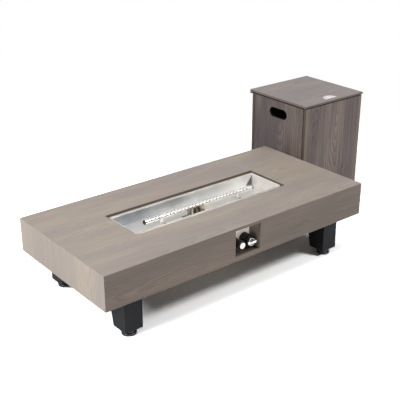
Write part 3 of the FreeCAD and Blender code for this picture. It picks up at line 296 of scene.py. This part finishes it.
def makeWood(name, look, *edges):
    material, tree, shader = newMaterial(name)
    vector = objectPlace(tree, look["turn"], look["shift"])
    wood = useGroup(tree, woodFigure, vector, **{
        "Arch Width": look["arch"], "Ring Gap": look["gap"], "Lean": look["lean"],
        "Wander": look["wander"], "Pores": look["pores"]})
    strength = ramp(tree, wood["Tone"], 0.35, 1.0, 0.3, 0.7)
    ground = blendColours(tree, ramp(tree, wood["Tone"], 1.0, 0.0, 0.38, 0.62),
                          look["light"], look["mauve"])
    colour = blendColours(tree, calc(tree, "MULTIPLY", wood["Figure"], strength),
                          ground, look["dark"])
    shade = calc(tree, "MULTIPLY", ramp(tree, wood["Tone"], 1 - look["streaks"],
                                        1 + look["streaks"], 0.28, 0.72),
                 ramp(tree, wood["Fibres"], 1 - look["fibres"], 1 + look["fibres"], 0.3, 0.7))
    colour = blendColours(tree, 1.0, colour, grey(tree, shade), "MULTIPLY")
    colour = blendColours(tree, wood["Pores"], colour, look["pore"])
    for edgeMask, edge in edges:
        band = blendColours(tree, wood["Tone"], edgeWoods[edge]["dark"], edgeWoods[edge]["light"])
        colour = blendColours(tree, edgeMask(tree), colour, band)
    putIn(tree, shader.inputs["Base Color"], colour)
    putIn(tree, shader.inputs["Roughness"], ramp(tree, wood["Figure"], 0.5, 0.62))
    shader.inputs["Specular IOR Level"].default_value = 0.35
    height = calc(tree, "SUBTRACT", calc(tree, "MULTIPLY", wood["Figure"], 0.4), wood["Pores"])
    relief(tree, shader, height, 0.00022, edge=0.0007)
    return material


# The narrow faces of the lid are edge-banded: everything that doesn't face up or down.
def bandedSides(tree):
    return within(tree, facingParts(tree)[2], 0.0, 0.5)


# The upright corners of the tank cover are paler where the panels meet.
cornerStrip = {"start": 0.03, "full": 0.012}     # distances from the panel's upright edge


def cornerStrips(tree):
    low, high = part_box("cover_front_panel")
    middle, reach = (low.x + high.x) / 2, (high.x - low.x) / 2
    fromMiddle = calc(tree, "ABSOLUTE", calc(tree, "SUBTRACT", placeParts(tree)[0], middle))
    return ramp(tree, fromMiddle, 0.0, 1.0, reach - cornerStrip["start"],
                reach - cornerStrip["full"])


# Painted shade: the upright cut edges of the cover's front and back panels are painted dark, for
# the shaded gap where they meet the side panels.
def panelEnds(tree):
    return facesAlong(tree, facingParts(tree)[0], 0.5)


# Painted shade on the cover's panels where they are cut: a near-black band along their top, where
# the lid shades them, and inside the hand slots, where the hollow cover is dark. The slot is given
# by its middle and its half size, along Y and Z.
coverPaintedShade = {"frontDepth": 0.002, "sideDepth": 0.0055, "slotMiddle": (0.2055, 0.505),
              "slotReach": (0.0635, 0.0265)}


def panelTops(tree, depth):
    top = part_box("cover_left_panel")[1].z
    return calc(tree, "GREATER_THAN", placeParts(tree)[2], top - depth)


def frontTops(tree):
    return panelTops(tree, coverPaintedShade["frontDepth"])


def sideTops(tree):
    return panelTops(tree, coverPaintedShade["sideDepth"])


def slotWalls(tree):
    place = placeParts(tree)
    cut = within(tree, facingParts(tree)[0], 0.0, 0.5)
    for part, middle, reach in zip(place[1:], coverPaintedShade["slotMiddle"], coverPaintedShade["slotReach"]):
        cut = calc(tree, "MULTIPLY", cut, within(tree, part, middle, reach))
    return cut


# The cut edges round the burner opening are painted dark, up to half a millimetre of the top:
# partly the wood's own darker cut edge, partly painted shade.
opening = {"reachX": 0.4125, "reachY": 0.1165, "top": 0.0005}


def openingEdges(tree):
    place = placeParts(tree)
    low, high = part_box("top_panel")
    middle = (low + high) / 2
    inside = calc(tree, "MULTIPLY", within(tree, place[0], middle.x, opening["reachX"]),
                  within(tree, place[1], middle.y, opening["reachY"]))
    return calc(tree, "MULTIPLY", inside,
                calc(tree, "LESS_THAN", place[2], high.z - opening["top"]))


# Length and fineness are those of the brush marks, marks how far they change the tone, and
# depth their relief in metres.
metalLooks = {
    # painted shade along the long walls, from wallStart to wallEnd, and painted light on the end
    # walls
    "panSteel": {"colour": (0.715, 0.69, 0.645), "wallStart": (0.30, 0.325, 0.365),
                 "wallEnd": (0.785, 0.785, 0.79), "ends": (0.94, 0.92, 0.89),
                 "shadeStart": -0.25, "shadeEnd": 0.45, "rough": (0.34, 0.48), "turn": alongX,
                 "metallic": 0.75, "length": 8.0, "fineness": 700.0, "depth": 0.00004},
    # painted shade: the folds are far darker than the pan, for the dark corners of the pan
    "foldSteelShaded": {"colour": (0.17, 0.168, 0.16), "rough": (0.4, 0.55), "turn": alongX,
                  "length": 8.0, "fineness": 700.0, "depth": 0.00004},
    "tubeSteel": {"colour": (0.78, 0.765, 0.735), "rough": (0.2, 0.34), "turn": alongX,
                  "length": 25.0, "fineness": 900.0, "depth": 0.00002},
    "plateSteel": {"colour": (0.95, 0.91, 0.82), "rough": (0.4, 0.52), "turn": (0, 0.6, 0),
                   "length": 14.0, "fineness": 500.0, "depth": 0.00005, "marks": 0.1,
                   "dish": 2.9, "glow": 0.26},
    "rimSteel": {"colour": (0.95, 0.94, 0.91), "rough": (0.24, 0.34), "turn": alongX,
                 "length": 14.0, "fineness": 900.0, "depth": 0.00002, "metallic": 0.35},
    # painted reflection: the steel pull is near white and almost not metallic, for the bright stage
    # it mirrors
    "pullPaintedReflection": {"colour": (0.97, 0.965, 0.955), "rough": (0.34, 0.46), "turn": alongX,
                  "length": 60.0, "fineness": 300.0, "depth": 0.00001, "metallic": 0.08},
    "portSteel": {"colour": (0.11, 0.10, 0.09), "rough": (0.4, 0.55), "turn": alongX,
                  "length": 60.0, "fineness": 900.0, "depth": 0.00001},
    "pilotSteel": {"colour": (0.36, 0.32, 0.28), "rough": (0.26, 0.4), "turn": alongX,
                   "length": 20.0, "fineness": 700.0, "depth": 0.00003},
    "hingeSteel": {"colour": (0.46, 0.45, 0.44), "rough": (0.3, 0.45), "turn": alongX,
                   "length": 30.0, "fineness": 700.0, "depth": 0.00003},
    "zincSteel": {"colour": (0.63, 0.63, 0.61), "rough": (0.28, 0.45), "turn": alongX,
                  "length": 60.0, "fineness": 300.0, "depth": 0.00003},
    "chrome": {"colour": (0.80, 0.80, 0.785), "rough": (0.07, 0.15), "turn": alongX,
               "length": 60.0, "fineness": 300.0, "depth": 0.00001},
    "brass": {"colour": (0.74, 0.56, 0.27), "rough": (0.22, 0.4), "turn": alongY,
              "length": 30.0, "fineness": 500.0, "depth": 0.00003},
    "drawnPipe": {"colour": (0.74, 0.74, 0.73), "rough": (0.25, 0.42), "turn": alongY,
                  "length": 12.0, "fineness": 800.0, "depth": 0.00003},
    "copperTip": {"colour": (0.46, 0.34, 0.25), "rough": (0.28, 0.5), "turn": alongX,
                  "length": 40.0, "fineness": 400.0, "depth": 0.00003},
}


# Painted shade: the pan's long walls are painted darker and blue-grey towards their left end.
# Painted light: its end walls are painted palest.
def panColour(tree, look, clouds):
    low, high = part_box("burner_pan")
    middle = (low.x + high.x) / 2
    shadeAlong = calc(tree, "MULTIPLY_ADD", clouds, 0.3, placeParts(tree)[0])
    wall = blendColours(tree, ramp(tree, shadeAlong, 0.0, 1.0, middle + look["shadeStart"],
                                   middle + look["shadeEnd"]),
                        look["wallStart"], look["wallEnd"])
    onEnd, onWall = [facesAlong(tree, part, 0.7) for part in facingParts(tree)[:2]]
    colour = blendColours(tree, onWall, look["colour"], wall)
    return blendColours(tree, onEnd, colour, look["ends"])


# The control plate is pressed in a little: height = dish * x * x / 2, x from its middle.
def dished(tree, look, height):
    low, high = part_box("control_plate")
    x = calc(tree, "SUBTRACT", placeParts(tree)[0], (low.x + high.x) / 2)
    bow = calc(tree, "MULTIPLY", calc(tree, "MULTIPLY", x, x), look["dish"] / 2 / look["depth"])
    return calc(tree, "ADD", height, bow)


def makeMetal(name, look):
    material, tree, shader = newMaterial(name)
    marks = useGroup(tree, brushing, objectPlace(tree, look["turn"]),
                     Length=look["length"], Fineness=look["fineness"])
    depth = look.get("marks", 0.03)
    tint = calc(tree, "MULTIPLY", ramp(tree, marks["Clouds"], 0.93, 1.03, 0.3, 0.7),
                ramp(tree, marks["Scratches"], 1 - depth, 1 + depth, 0.3, 0.7))
    colour = panColour(tree, look, marks["Clouds"]) if "ends" in look else look["colour"]
    colour = blendColours(tree, 1.0, colour, grey(tree, tint), "MULTIPLY")
    putIn(tree, shader.inputs["Base Color"], colour)
    # painted light: the plate gives off a little light of its own
    if "glow" in look:     # a little emission lifts the plate, deep in its niche
        putIn(tree, shader.inputs["Emission Color"], colour)
        shader.inputs["Emission Strength"].default_value = look["glow"]
    putIn(tree, shader.inputs["Roughness"],
          ramp(tree, marks["Scratches"], *look["rough"], 0.3, 0.7))
    shader.inputs["Metallic"].default_value = look.get("metallic", 1.0)
    scratches = marks["Scratches"]
    height = dished(tree, look, scratches) if "dish" in look else scratches
    relief(tree, shader, height, look["depth"], edge=0.0004)
    return material


# Spread says how far the tone swings, grain how fine the speckle is, and depth is its relief
# in metres.
coatLooks = {
    "legCoat": {"colour": (0.0105, 0.0118, 0.0148), "spread": 0.25, "rough": (0.42, 0.55),
                "grain": 1500.0, "depth": 0.00006, "coat": 0.0, "shine": 0.22},
    "framePaint": {"colour": (0.022, 0.022, 0.022), "spread": 0.3, "rough": (0.45, 0.6),
                   "grain": 900.0, "depth": 0.00006, "coat": 0.0},
    "footGloss": {"colour": (0.009, 0.009, 0.0095), "spread": 0.2, "rough": (0.12, 0.2),
                  "grain": 500.0, "depth": 0.00002, "coat": 0.5},
    "controlPlastic": {"colour": (0.005, 0.005, 0.0048), "spread": 0.25, "rough": (0.3, 0.42),
                       "grain": 1200.0, "depth": 0.00004, "coat": 0.0, "shine": 0.2},
    "knobInlay": {"colour": (0.006, 0.006, 0.006), "spread": 0.2, "rough": (0.4, 0.5),
                  "grain": 1200.0, "depth": 0.00002, "coat": 0.0},
    "darkCap": {"colour": (0.03, 0.028, 0.026), "spread": 0.4, "rough": (0.4, 0.55),
                "grain": 900.0, "depth": 0.00005, "coat": 0.0},
    "padRubber": {"colour": (0.018, 0.018, 0.018), "spread": 0.3, "rough": (0.7, 0.85),
                  "grain": 1500.0, "depth": 0.00008, "coat": 0.0},
    "ceramic": {"colour": (0.68, 0.62, 0.53), "spread": 0.15, "rough": (0.2, 0.32),
                "grain": 700.0, "depth": 0.00002, "coat": 0.4},
}


def makeCoat(name, look):
    material, tree, shader = newMaterial(name)
    grit = useGroup(tree, speckle, objectPlace(tree), Grain=look["grain"])
    tint = calc(tree, "ADD", ramp(tree, grit["Patches"], 1 - look["spread"], 1.0, 0.3, 0.7),
                ramp(tree, grit["Grain"], 0.0, look["spread"], 0.45, 0.75))
    putIn(tree, shader.inputs["Base Color"],
          blendColours(tree, 1.0, look["colour"], grey(tree, tint), "MULTIPLY"))
    putIn(tree, shader.inputs["Roughness"],
          ramp(tree, grit["Patches"], *look["rough"], 0.3, 0.7))
    shader.inputs["Coat Weight"].default_value = look["coat"]
    shader.inputs["Specular IOR Level"].default_value = look.get("shine", 0.5)
    relief(tree, shader, grit["Grain"], look["depth"], edge=0.0008)
    return material


edged = {"tableTopWood": [(openingEdges, "opening")], "coverLidWood": [(bandedSides, "lid")],
         "coverFrontWood": [(cornerStrips, "corner"), (panelEnds, "cut"), (frontTops, "paintedShade")],
         "coverSideWoodShaded": [(sideTops, "paintedShade"), (slotWalls, "paintedShade")]}
materials = {name: makeWood(name, look, *edged.get(name, ()))
             for name, look in woodLooks.items()}
materials.update({name: makeMetal(name, look) for name, look in metalLooks.items()})
materials.update({name: makeCoat(name, look) for name, look in coatLooks.items()})

finishes = {
    "tableTopWood": ["top_panel"],
    "tableFrontWoodShaded": ["front_apron", "back_apron"],
    "nicheFloorWoodShaded": ["niche_floor_board"],
    "tableEndWoodLit": ["left_apron", "right_apron", "niche_left_board", "niche_right_board"],
    "coverFrontWood": ["cover_front_panel", "cover_back_panel"],
    "coverSideWoodShaded": ["cover_left_panel", "cover_right_panel", "cover_cleats"],
    "coverLidWood": ["cover_lid"],
    "panSteel": ["burner_pan"],
    "pilotSteel": ["pilot_bracket"],
    "tubeSteel": ["burner_tube", "tube_straps"],
    "plateSteel": ["control_plate"],
    "hingeSteel": ["lid_hinge_fixed_leaves", "lid_hinge_moving_leaves", "lid_hinge_pins"],
    "zincSteel": ["leg_bolts", "valve_spindle", "spindle_spring", "button_spring"],
    "chrome": ["control_knob", "igniter_button"],
    "pullPaintedReflection": ["lid_pull"],
    "brass": ["gas_valve", "valve_plug", "gas_inlet", "burner_feed"],
    "drawnPipe": ["burner_gas_pipe"],
    "copperTip": ["thermocouple"],
    "legCoat": ["leg_front_left", "leg_front_right", "leg_back_left", "leg_back_right"],
    "framePaint": ["front_rail", "back_rail", "left_end_rail", "right_end_rail",
                   "pan_rail_front", "pan_rail_back", "frame_posts",
                   "leg_channel_left", "leg_channel_right"],
    "footGloss": ["foot_front_left", "foot_front_right", "foot_back_left", "foot_back_right"],
    "controlPlastic": ["valve_boss", "igniter_body", "igniter_collar", "cover_glides"],
    "darkCap": ["burner_end_caps", "pan_screws"],
    "padRubber": ["lid_pads"],
    "ceramic": ["spark_electrode"],
}
for name, members in finishes.items():
    for member in members:
        mesh = nodes[member].data
        mesh.materials.clear()
        mesh.materials.append(materials[name])
unfinished = set(nodes) - {member for members in finishes.values() for member in members}
print("materials set; nodes without one:", sorted(unfinished))


mergeDistance = 0.000002
sharpDegrees = 40


# Puts grids of points (rows, columns, xyz) into one mesh of quads. Columns run round and
# close on themselves; rows that shrink to a point are merged there.
def meshFromGrids(name, grids):
    points, quads, first = [], [], 0
    for grid in grids:
        rows, columns = grid.shape[:2]
        index = first + np.arange(rows * columns).reshape(rows, columns)
        index = np.column_stack([index, index[:, :1]])
        quads.append(np.stack([index[:-1, :-1], index[:-1, 1:], index[1:, 1:], index[1:, :-1]],
                              axis=-1).reshape(-1, 4))
        points.append(grid.reshape(-1, 3))
        first += rows * columns
    mesh = bpy.data.meshes.new(name)
    mesh.from_pydata(np.concatenate(points).tolist(), [], np.concatenate(quads).tolist())
    work = bmesh.new()
    work.from_mesh(mesh)
    bmesh.ops.remove_doubles(work, verts=work.verts, dist=mergeDistance)
    bmesh.ops.recalc_face_normals(work, faces=work.faces)
    work.to_mesh(mesh)
    work.free()
    mesh.shade_smooth()
    mesh.set_sharp_from_angle(angle=math.radians(sharpDegrees))
    return mesh


def addObject(name, data):
    item = bpy.data.objects.new(name, data)
    bpy.context.scene.collection.objects.link(item)
    return item


def addPiece(name, grids, material, body):
    mesh = meshFromGrids(name, grids)
    mesh.materials.append(materials[material])
    piece = addObject(name, mesh)
    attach(piece, body)
    return piece


def around(count):
    return np.linspace(0, 2 * np.pi, count, endpoint=False)


# A coordinate of the superellipse |x/a|^n + |y/b|^n = 1: the sine or cosine of its angle,
# raised to the power 2 / n, with its sign kept.
def boxier(wave, power):
    return np.sign(wave) * np.abs(wave) ** power


# The knob: distances from its back, along -Y, and radii. Its skirt is knurled, its face
# dished inside a rounded rim, and its grip bar has a waist and full ends.
knob = {"rim": 0.018, "thickness": 0.0075, "dish": 0.0016, "ribs": 40, "ribDepth": 0.0005,
        "gripLength": 0.05, "gripWidth": 0.0145, "gripBack": 0.006, "waist": 0.3,
        "waistLength": 0.0095, "power": 0.55}


def makeKnob():
    low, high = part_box("control_knob")
    centreX, centreZ, back = (low.x + high.x) / 2, (low.z + high.z) / 2, high.y
    rim, thick, dish = knob["rim"], knob["thickness"], knob["dish"]
    # radius and height of the skirt, from the middle of its back to the middle of its face
    profile = np.array([
        (0, 0), (rim * 0.5, 0), (rim - 0.0016, 0), (rim - 0.0009, 0.0002), (rim - 0.0004, 0.0007),
        (rim, 0.0012), (rim, thick * 0.3), (rim, thick * 0.5), (rim, thick * 0.66),
        (rim - 0.0003, thick - 0.0013), (rim - 0.0009, thick - 0.0004), (rim - 0.0017, thick),
        (rim - 0.0026, thick - 0.0002), (rim - 0.0034, thick - 0.0007),
        (rim - 0.0042, thick - dish * 0.8), (rim - 0.006, thick - dish), (rim * 0.35, thick - dish),
        (0, thick - dish)])
    angle = around(knob["ribs"] * 6)
    radius, height = profile[:, :1], profile[:, 1:]
    onSide = (np.abs(radius - rim) < 1e-6) & (height > 0.0012)
    # radius = profile - depth * (1 - cos(ribs * angle)) / 2 on the side only
    ribbed = radius - onSide * knob["ribDepth"] * (1 - np.cos(knob["ribs"] * angle)) / 2
    skirt = np.stack([centreX + ribbed * np.cos(angle), back - height + 0 * angle,
                      centreZ + ribbed * np.sin(angle)], axis=-1)
    # grip: half width = (1 - |along|^5)^(1/5), less a bell-shaped waist; its section is a
    # superellipse
    along = np.sin(np.linspace(-np.pi / 2, np.pi / 2, 61))[:, None]
    half = knob["gripLength"] / 2
    ends = np.maximum(1 - np.abs(along) ** 5, 0) ** (1 / 5)
    waist = 1 - knob["waist"] * np.exp(-(along * half / knob["waistLength"]) ** 2)
    reach = (back - low.y - knob["gripBack"]) / 2
    section = around(48)
    sideways = boxier(np.cos(section), knob["power"])
    upward = boxier(np.sin(section), knob["power"])
    crown = np.maximum(1 - np.abs(along) ** 7, 0) ** (1 / 7)
    grip = np.stack([centreX + along * half + 0 * section,
                     back - knob["gripBack"] - reach - reach * crown * upward,
                     centreZ + knob["gripWidth"] / 2 * ends * waist * sideways], axis=-1)
    piece = addPiece("knobDressed", [skirt, grip], "chrome", "control_knob")
    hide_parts("control_knob")
    # a dark ring lies in the dish: flat, with both edges turned down a little
    share = np.array([0.26, 0.26, 0.28, 0.55, 0.78, 0.8, 0.8])[:, None]
    rise = np.array([-0.0002, 0.0003, 0.0006, 0.0006, 0.0006, 0.0003, -0.0002])[:, None]
    turn = around(96)
    inlay = np.stack([centreX + rim * share * np.cos(turn),
                      back - (thick - dish) - rise + 0 * turn,
                      centreZ + rim * share * np.sin(turn)], axis=-1)
    addPiece("knobInlay", [inlay], "knobInlay", "control_knob")


# Raised screw heads on the hinge leaves: a dome with a cross recess.
leafScrew = {"radius": 0.0036, "dome": 0.0013, "crossWidth": 0.0006, "crossReach": 0.0021,
             "crossDepth": 0.0008, "sideways": 0.02, "rows": (0.012, 0.028),
             "leafThickness": 0.0015, "leafMiddle": 0.03, "seat": 0.0001, "skirt": 0.0006}


def makeLeafScrews():
    low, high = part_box("lid_hinge_fixed_leaves")
    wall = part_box("cover_back_panel")[1].y + leafScrew["leafThickness"]
    turn = around(48)
    share = np.concatenate([np.linspace(1, 0.62, 5), np.linspace(0.58, 0, 12)])[:, None]
    x, z = share * np.cos(turn), share * np.sin(turn)
    # height = dome * sqrt(1 - r*r), less the cross where either axis is near its middle
    rise = leafScrew["dome"] * np.sqrt(np.maximum(1 - share ** 2, 0)) + 0 * turn
    narrow = np.minimum(np.abs(x), np.abs(z)) * leafScrew["radius"]
    inCross = (narrow < leafScrew["crossWidth"]) & (
        share * leafScrew["radius"] < leafScrew["crossReach"])
    rise = rise - leafScrew["crossDepth"] * inCross
    head = np.stack([x * leafScrew["radius"], rise - leafScrew["seat"],
                     z * leafScrew["radius"]], axis=-1)
    rim = head[:1].copy()
    rim[..., 1] -= leafScrew["skirt"]
    shape = np.concatenate([rim * (0, 1, 0), rim, head])
    places = [(middle + side, wall, low.z + up)
              for middle in (low.x + leafScrew["leafMiddle"], high.x - leafScrew["leafMiddle"])
              for side in (-leafScrew["sideways"], leafScrew["sideways"])
              for up in leafScrew["rows"]]
    addPiece("leafScrews", [shape + np.array(place) for place in places], "zincSteel",
             "tank_cover")


# The pan inside its walls: half its length, half its depth and the thickness of its sheet.
panWall = {"reachX": 0.4, "reachY": 0.095, "sheet": 0.0015}

# Its four inner corners: the side in X, the direction into the pan, the side in Y.
panCorners = [(endX, -endX, sideY) for endX in (-1, 1) for sideY in (-1, 1)]

# Folded corner tabs of the burner pan, spot-welded to its end walls.
panTab = {"width": 0.016, "thickness": 0.0009, "top": 0.0015, "bottom": 0.001,
          "weldReach": 0.0024, "weldHeight": 0.00035, "weldEdge": 0.009,
          "powerAcross": 0.3, "powerOff": 0.6}


def makePanTabs():
    low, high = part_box("burner_pan")
    middle = (low + high) / 2
    top, floor = high.z - panTab["top"], low.z + panWall["sheet"] + panTab["bottom"]
    # a rounded slab: superellipse section in plan, carried up the wall, ends drawn in
    section = around(32)
    acrossWall = boxier(np.cos(section), panTab["powerAcross"])
    offWall = boxier(np.sin(section), panTab["powerOff"])
    rise = np.concatenate([[0, 0], np.linspace(0, 1, 9), [1, 1]])[:, None]
    full = np.concatenate([[0, 0.97], np.ones(9), [0.97, 0]])[:, None]
    grids, welds = [], []
    for endX, facing, sideY in panCorners:
        wallX = middle.x + endX * panWall["reachX"]
        centreY = middle.y + sideY * (panWall["reachY"] - panTab["width"] / 2)
        x = wallX + facing * panTab["thickness"] / 2 * (1 + full * offWall)
        y = centreY + panTab["width"] / 2 * full * acrossWall
        z = floor + (top - floor) * rise + 0 * section
        grids.append(np.stack([x, y, z], axis=-1))
        welds += [(wallX + facing * panTab["thickness"], centreY, level, facing) for level in
                  np.linspace(floor + panTab["weldEdge"], top - panTab["weldEdge"], 3)]
    # spot welds: shallow rings, height = weldHeight * sin(pi * share)^2, out to weldReach
    share, turn = np.linspace(0, 1, 9)[:, None], around(24)
    swell = panTab["weldHeight"] * np.sin(np.pi * share) ** 2 + 0 * turn
    spread = panTab["weldReach"] * share
    for x, y, z, facing in welds:
        grids.append(np.stack([x + facing * swell, y + spread * np.cos(turn),
                               z + spread * np.sin(turn)], axis=-1))
    addPiece("panTabs", grids, "panSteel", "table")


# Triangular folds of the pan's corners: they lie against the long walls, widest at the
# bottom, and stand off a little at their free edge.
panFold = {"width": 0.034, "thickness": 0.0009, "standOff": 0.0016, "top": 0.002,
           "bottom": 0.0002, "fromEnd": 0.0003, "power": 0.4}


def makePanFolds():
    low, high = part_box("burner_pan")
    middle = (low + high) / 2
    top, floor = high.z - panFold["top"], low.z + panWall["sheet"] + panFold["bottom"]
    rise = np.linspace(0, 1, 13)[:, None]
    # section in plan: along the wall 0..width * (1 - rise), thickness drawn in at its ends
    turn = around(24)
    share = (1 - np.cos(turn)) / 2
    reach = panFold["width"] * (1 - rise) * share + panFold["fromEnd"]
    off = (panFold["thickness"] / 2 * (1 + boxier(np.sin(turn), panFold["power"]))
           + panFold["standOff"] * (1 - rise) * share)
    grids = []
    for endX, inward, sideY in panCorners:
        grid = np.stack([middle.x + endX * panWall["reachX"] + inward * reach,
                         middle.y + sideY * (panWall["reachY"] - off),
                         floor + (top - floor) * rise + 0 * turn], axis=-1)
        ends = [end.mean(axis=1, keepdims=True) + 0 * end for end in (grid[:1], grid[-1:])]
        grids.append(np.concatenate([ends[0], grid, ends[1]]))
    addPiece("panFolds", grids, "foldSteelShaded", "table")


# The hem of the pan stands up round its mouth: a rounded bead swept round a rectangle with
# small corner radii.
panRim = {"reachX": 0.4008, "reachY": 0.0958, "corner": 0.003, "thickness": 0.0024,
          "height": 0.008, "seat": 0.0003, "power": 0.67}


def makePanRim():
    low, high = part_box("burner_pan")
    middle = (low + high) / 2
    corner = panRim["corner"]
    # path: quarter circles at the corners joined by straight runs
    quarterTurn = np.linspace(0, np.pi / 2, 9)
    angle = np.concatenate([quarterTurn + step * np.pi / 2 for step in range(4)])
    signX = np.repeat([1, -1, -1, 1], 9)
    signY = np.repeat([1, 1, -1, -1], 9)
    section = around(20)
    # section: a superellipse
    out = boxier(np.cos(section), panRim["power"]) * panRim["thickness"] / 2
    up = boxier(np.sin(section), panRim["power"]) * panRim["height"] / 2
    reach = corner + out[None, :]
    x = middle.x + (signX * (panRim["reachX"] - corner))[:, None] + reach * np.cos(angle)[:, None]
    y = middle.y + (signY * (panRim["reachY"] - corner))[:, None] + reach * np.sin(angle)[:, None]
    z = high.z + panRim["height"] / 2 - panRim["seat"] + up[None, :] + 0 * angle[:, None]
    ring = np.stack([x, y, z], axis=-1)
    addPiece("panRim", [np.concatenate([ring, ring[:1]])], "rimSteel", "table")


# The ports of the burner tube are pressed outwards: a low collar round each one.
# Its two rows are given by their first port, from the tube's end, and their angle off the top.
portRim = {"inner": 0.0015, "outer": 0.0033, "height": 0.0007, "seat": 0.0001,
           "spacing": 0.02, "count": 28, "rows": ((0.02, 8.3), (0.03, -48.3))}


def makePortRims():
    low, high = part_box("burner_tube")
    axisY, axisZ, radius = (low.y + high.y) / 2, (low.z + high.z) / 2, (high.z - low.z) / 2
    section, turn = np.linspace(0, np.pi, 9)[:, None], around(20)
    # over the tube's surface: height = sin(section), from the inner to the outer radius
    reach = (portRim["inner"] + portRim["outer"]
             - (portRim["outer"] - portRim["inner"]) * np.cos(section)) / 2
    rise = portRim["height"] * np.sin(section) - portRim["seat"]
    along, across = reach * np.cos(turn), reach * np.sin(turn)
    grids = []
    for first, degrees in portRim["rows"]:
        # the ring is laid round the tube: angle = place of the row + across / radius
        angle = math.radians(degrees) + across / radius
        for step in range(portRim["count"]):
            x = low.x + first + step * portRim["spacing"] + along
            grids.append(np.stack([x, axisY + (radius + rise) * np.sin(angle),
                                   axisZ + (radius + rise) * np.cos(angle)], axis=-1))
    addPiece("portRims", grids, "portSteel", "table")


makeKnob()
makeLeafScrews()
makePanTabs()
makePanFolds()
makePanRim()
makePortRims()
print("knob, hinge screws, pan tabs, folds and rim, and port rims made")


# 1 for rays that a mirror sends out, before they have met a matt surface.
def mirrorRays(tree, rays):
    mirrored = calc(tree, "MAXIMUM", rays["Is Glossy Ray"], rays["Is Transmission Ray"])
    return calc(tree, "MULTIPLY", mirrored, calc(tree, "LESS_THAN", rays["Diffuse Depth"], 0.5))


# The floor is bright to the camera, so that only the deep shadow shows, white in mirrors,
# and a plain pale grey to everything that it lights.
floorLook = {"size": 60.0, "seen": 2.6, "mirrored": 1.35, "lighting": 0.5, "near": 1.5,
             "far": 2.4}


def makeFloor():
    half = floorLook["size"] / 2
    mesh = bpy.data.meshes.new("floor")
    mesh.from_pydata([(-half, -half, 0), (half, -half, 0), (half, half, 0), (-half, half, 0)],
                     [], [(0, 1, 2, 3)])
    floor = addObject("floor", mesh)
    material, tree, shader = newMaterial("floorPaint")
    tree.nodes.remove(shader)
    rays = addNode(tree, "LightPath").outputs
    mirrored = mirrorRays(tree, rays)
    level = calc(tree, "MULTIPLY_ADD", mirrored,
                 floorLook["mirrored"] - floorLook["lighting"], floorLook["lighting"])
    level = calc(tree, "MULTIPLY_ADD", rays["Is Camera Ray"],
                 floorLook["seen"] - floorLook["lighting"], level)
    paint = addNode(tree, "BsdfDiffuse", {}, Color=grey(tree, level))
    # beyond the object the seen floor runs into the white behind it
    away = addNode(tree, "VectorMath", {"operation": "LENGTH"},
                   _0=addNode(tree, "TexCoord").outputs["Object"]).outputs["Value"]
    fade = ramp(tree, away, 0.0, 1.0, floorLook["near"], floorLook["far"])
    shown = calc(tree, "MAXIMUM", rays["Is Camera Ray"], mirrored)
    white = addNode(tree, "Emission", {}, Strength=1.0)
    mix = addNode(tree, "MixShader", {}, _0=calc(tree, "MULTIPLY", fade, shown))
    tree.links.new(paint.outputs[0], mix.inputs[1])
    tree.links.new(white.outputs[0], mix.inputs[2])
    tree.links.new(mix.outputs[0], tree.nodes["Material Output"].inputs["Surface"])
    mesh.materials.append(material)


world = {"white": 1.0, "lighting": 0.05}


def makeWorld():
    sky = bpy.data.worlds.new("studio")
    bpy.context.scene.world = sky
    sky.use_nodes = True
    tree = sky.node_tree
    rays = addNode(tree, "LightPath").outputs
    direct = calc(tree, "MAXIMUM", rays["Is Camera Ray"], mirrorRays(tree, rays))
    strength = calc(tree, "MULTIPLY_ADD", direct, world["white"] - world["lighting"],
                    world["lighting"])
    tree.nodes["Background"].inputs["Color"].default_value = (1, 1, 1, 1)
    putIn(tree, tree.nodes["Background"].inputs["Strength"], strength)


# Square lamps: place, aim and size in metres, power in watts.
lamps = {
    "overheadLamp": {"place": (0.2, -0.4, 4.2), "aim": (0, 0, 0), "size": 3.0, "power": 42},
    "frontLamp": {"place": (1.9, -3.3, 4.3), "aim": (0, 0, 0), "size": 1.1, "power": 106},
    "sideLamp": {"place": (-4.3, -0.3, 2.9), "aim": (0, 0, 0.2), "size": 1.6, "power": 168},
}


def makeLamps():
    for name, look in lamps.items():
        lamp = bpy.data.lights.new(name, "AREA")
        lamp.shape = "SQUARE"
        lamp.size = look["size"]
        lamp.energy = look["power"]
        item = addObject(name, lamp)
        item.location = look["place"]
        away = Vector(look["aim"]) - Vector(look["place"])
        item.rotation_euler = away.to_track_quat("-Z", "Y").to_euler()


# The camera as it was solved from the table's edges: place in metres, angles in degrees, and
# lens and sensor in millimetres.
cameraLook = {"place": (-2.2905, -2.6521, 1.7834), "down": 23.81, "round": -38.85,
              "lens": 73.65, "sensor": 36, "farthest": 100}


def makeCamera():
    data = bpy.data.cameras.new("camera")
    data.lens = cameraLook["lens"]
    data.sensor_width = cameraLook["sensor"]
    data.clip_end = cameraLook["farthest"]
    camera = addObject("camera", data)
    camera.location = cameraLook["place"]
    camera.rotation_euler = Euler((math.radians(90 - cameraLook["down"]), 0,
                                   math.radians(cameraLook["round"])))
    bpy.context.scene.camera = camera


makeFloor()
makeWorld()
makeLamps()
makeCamera()
bpy.context.scene.view_settings.view_transform = "Standard"
print("stage, lamps and camera set")
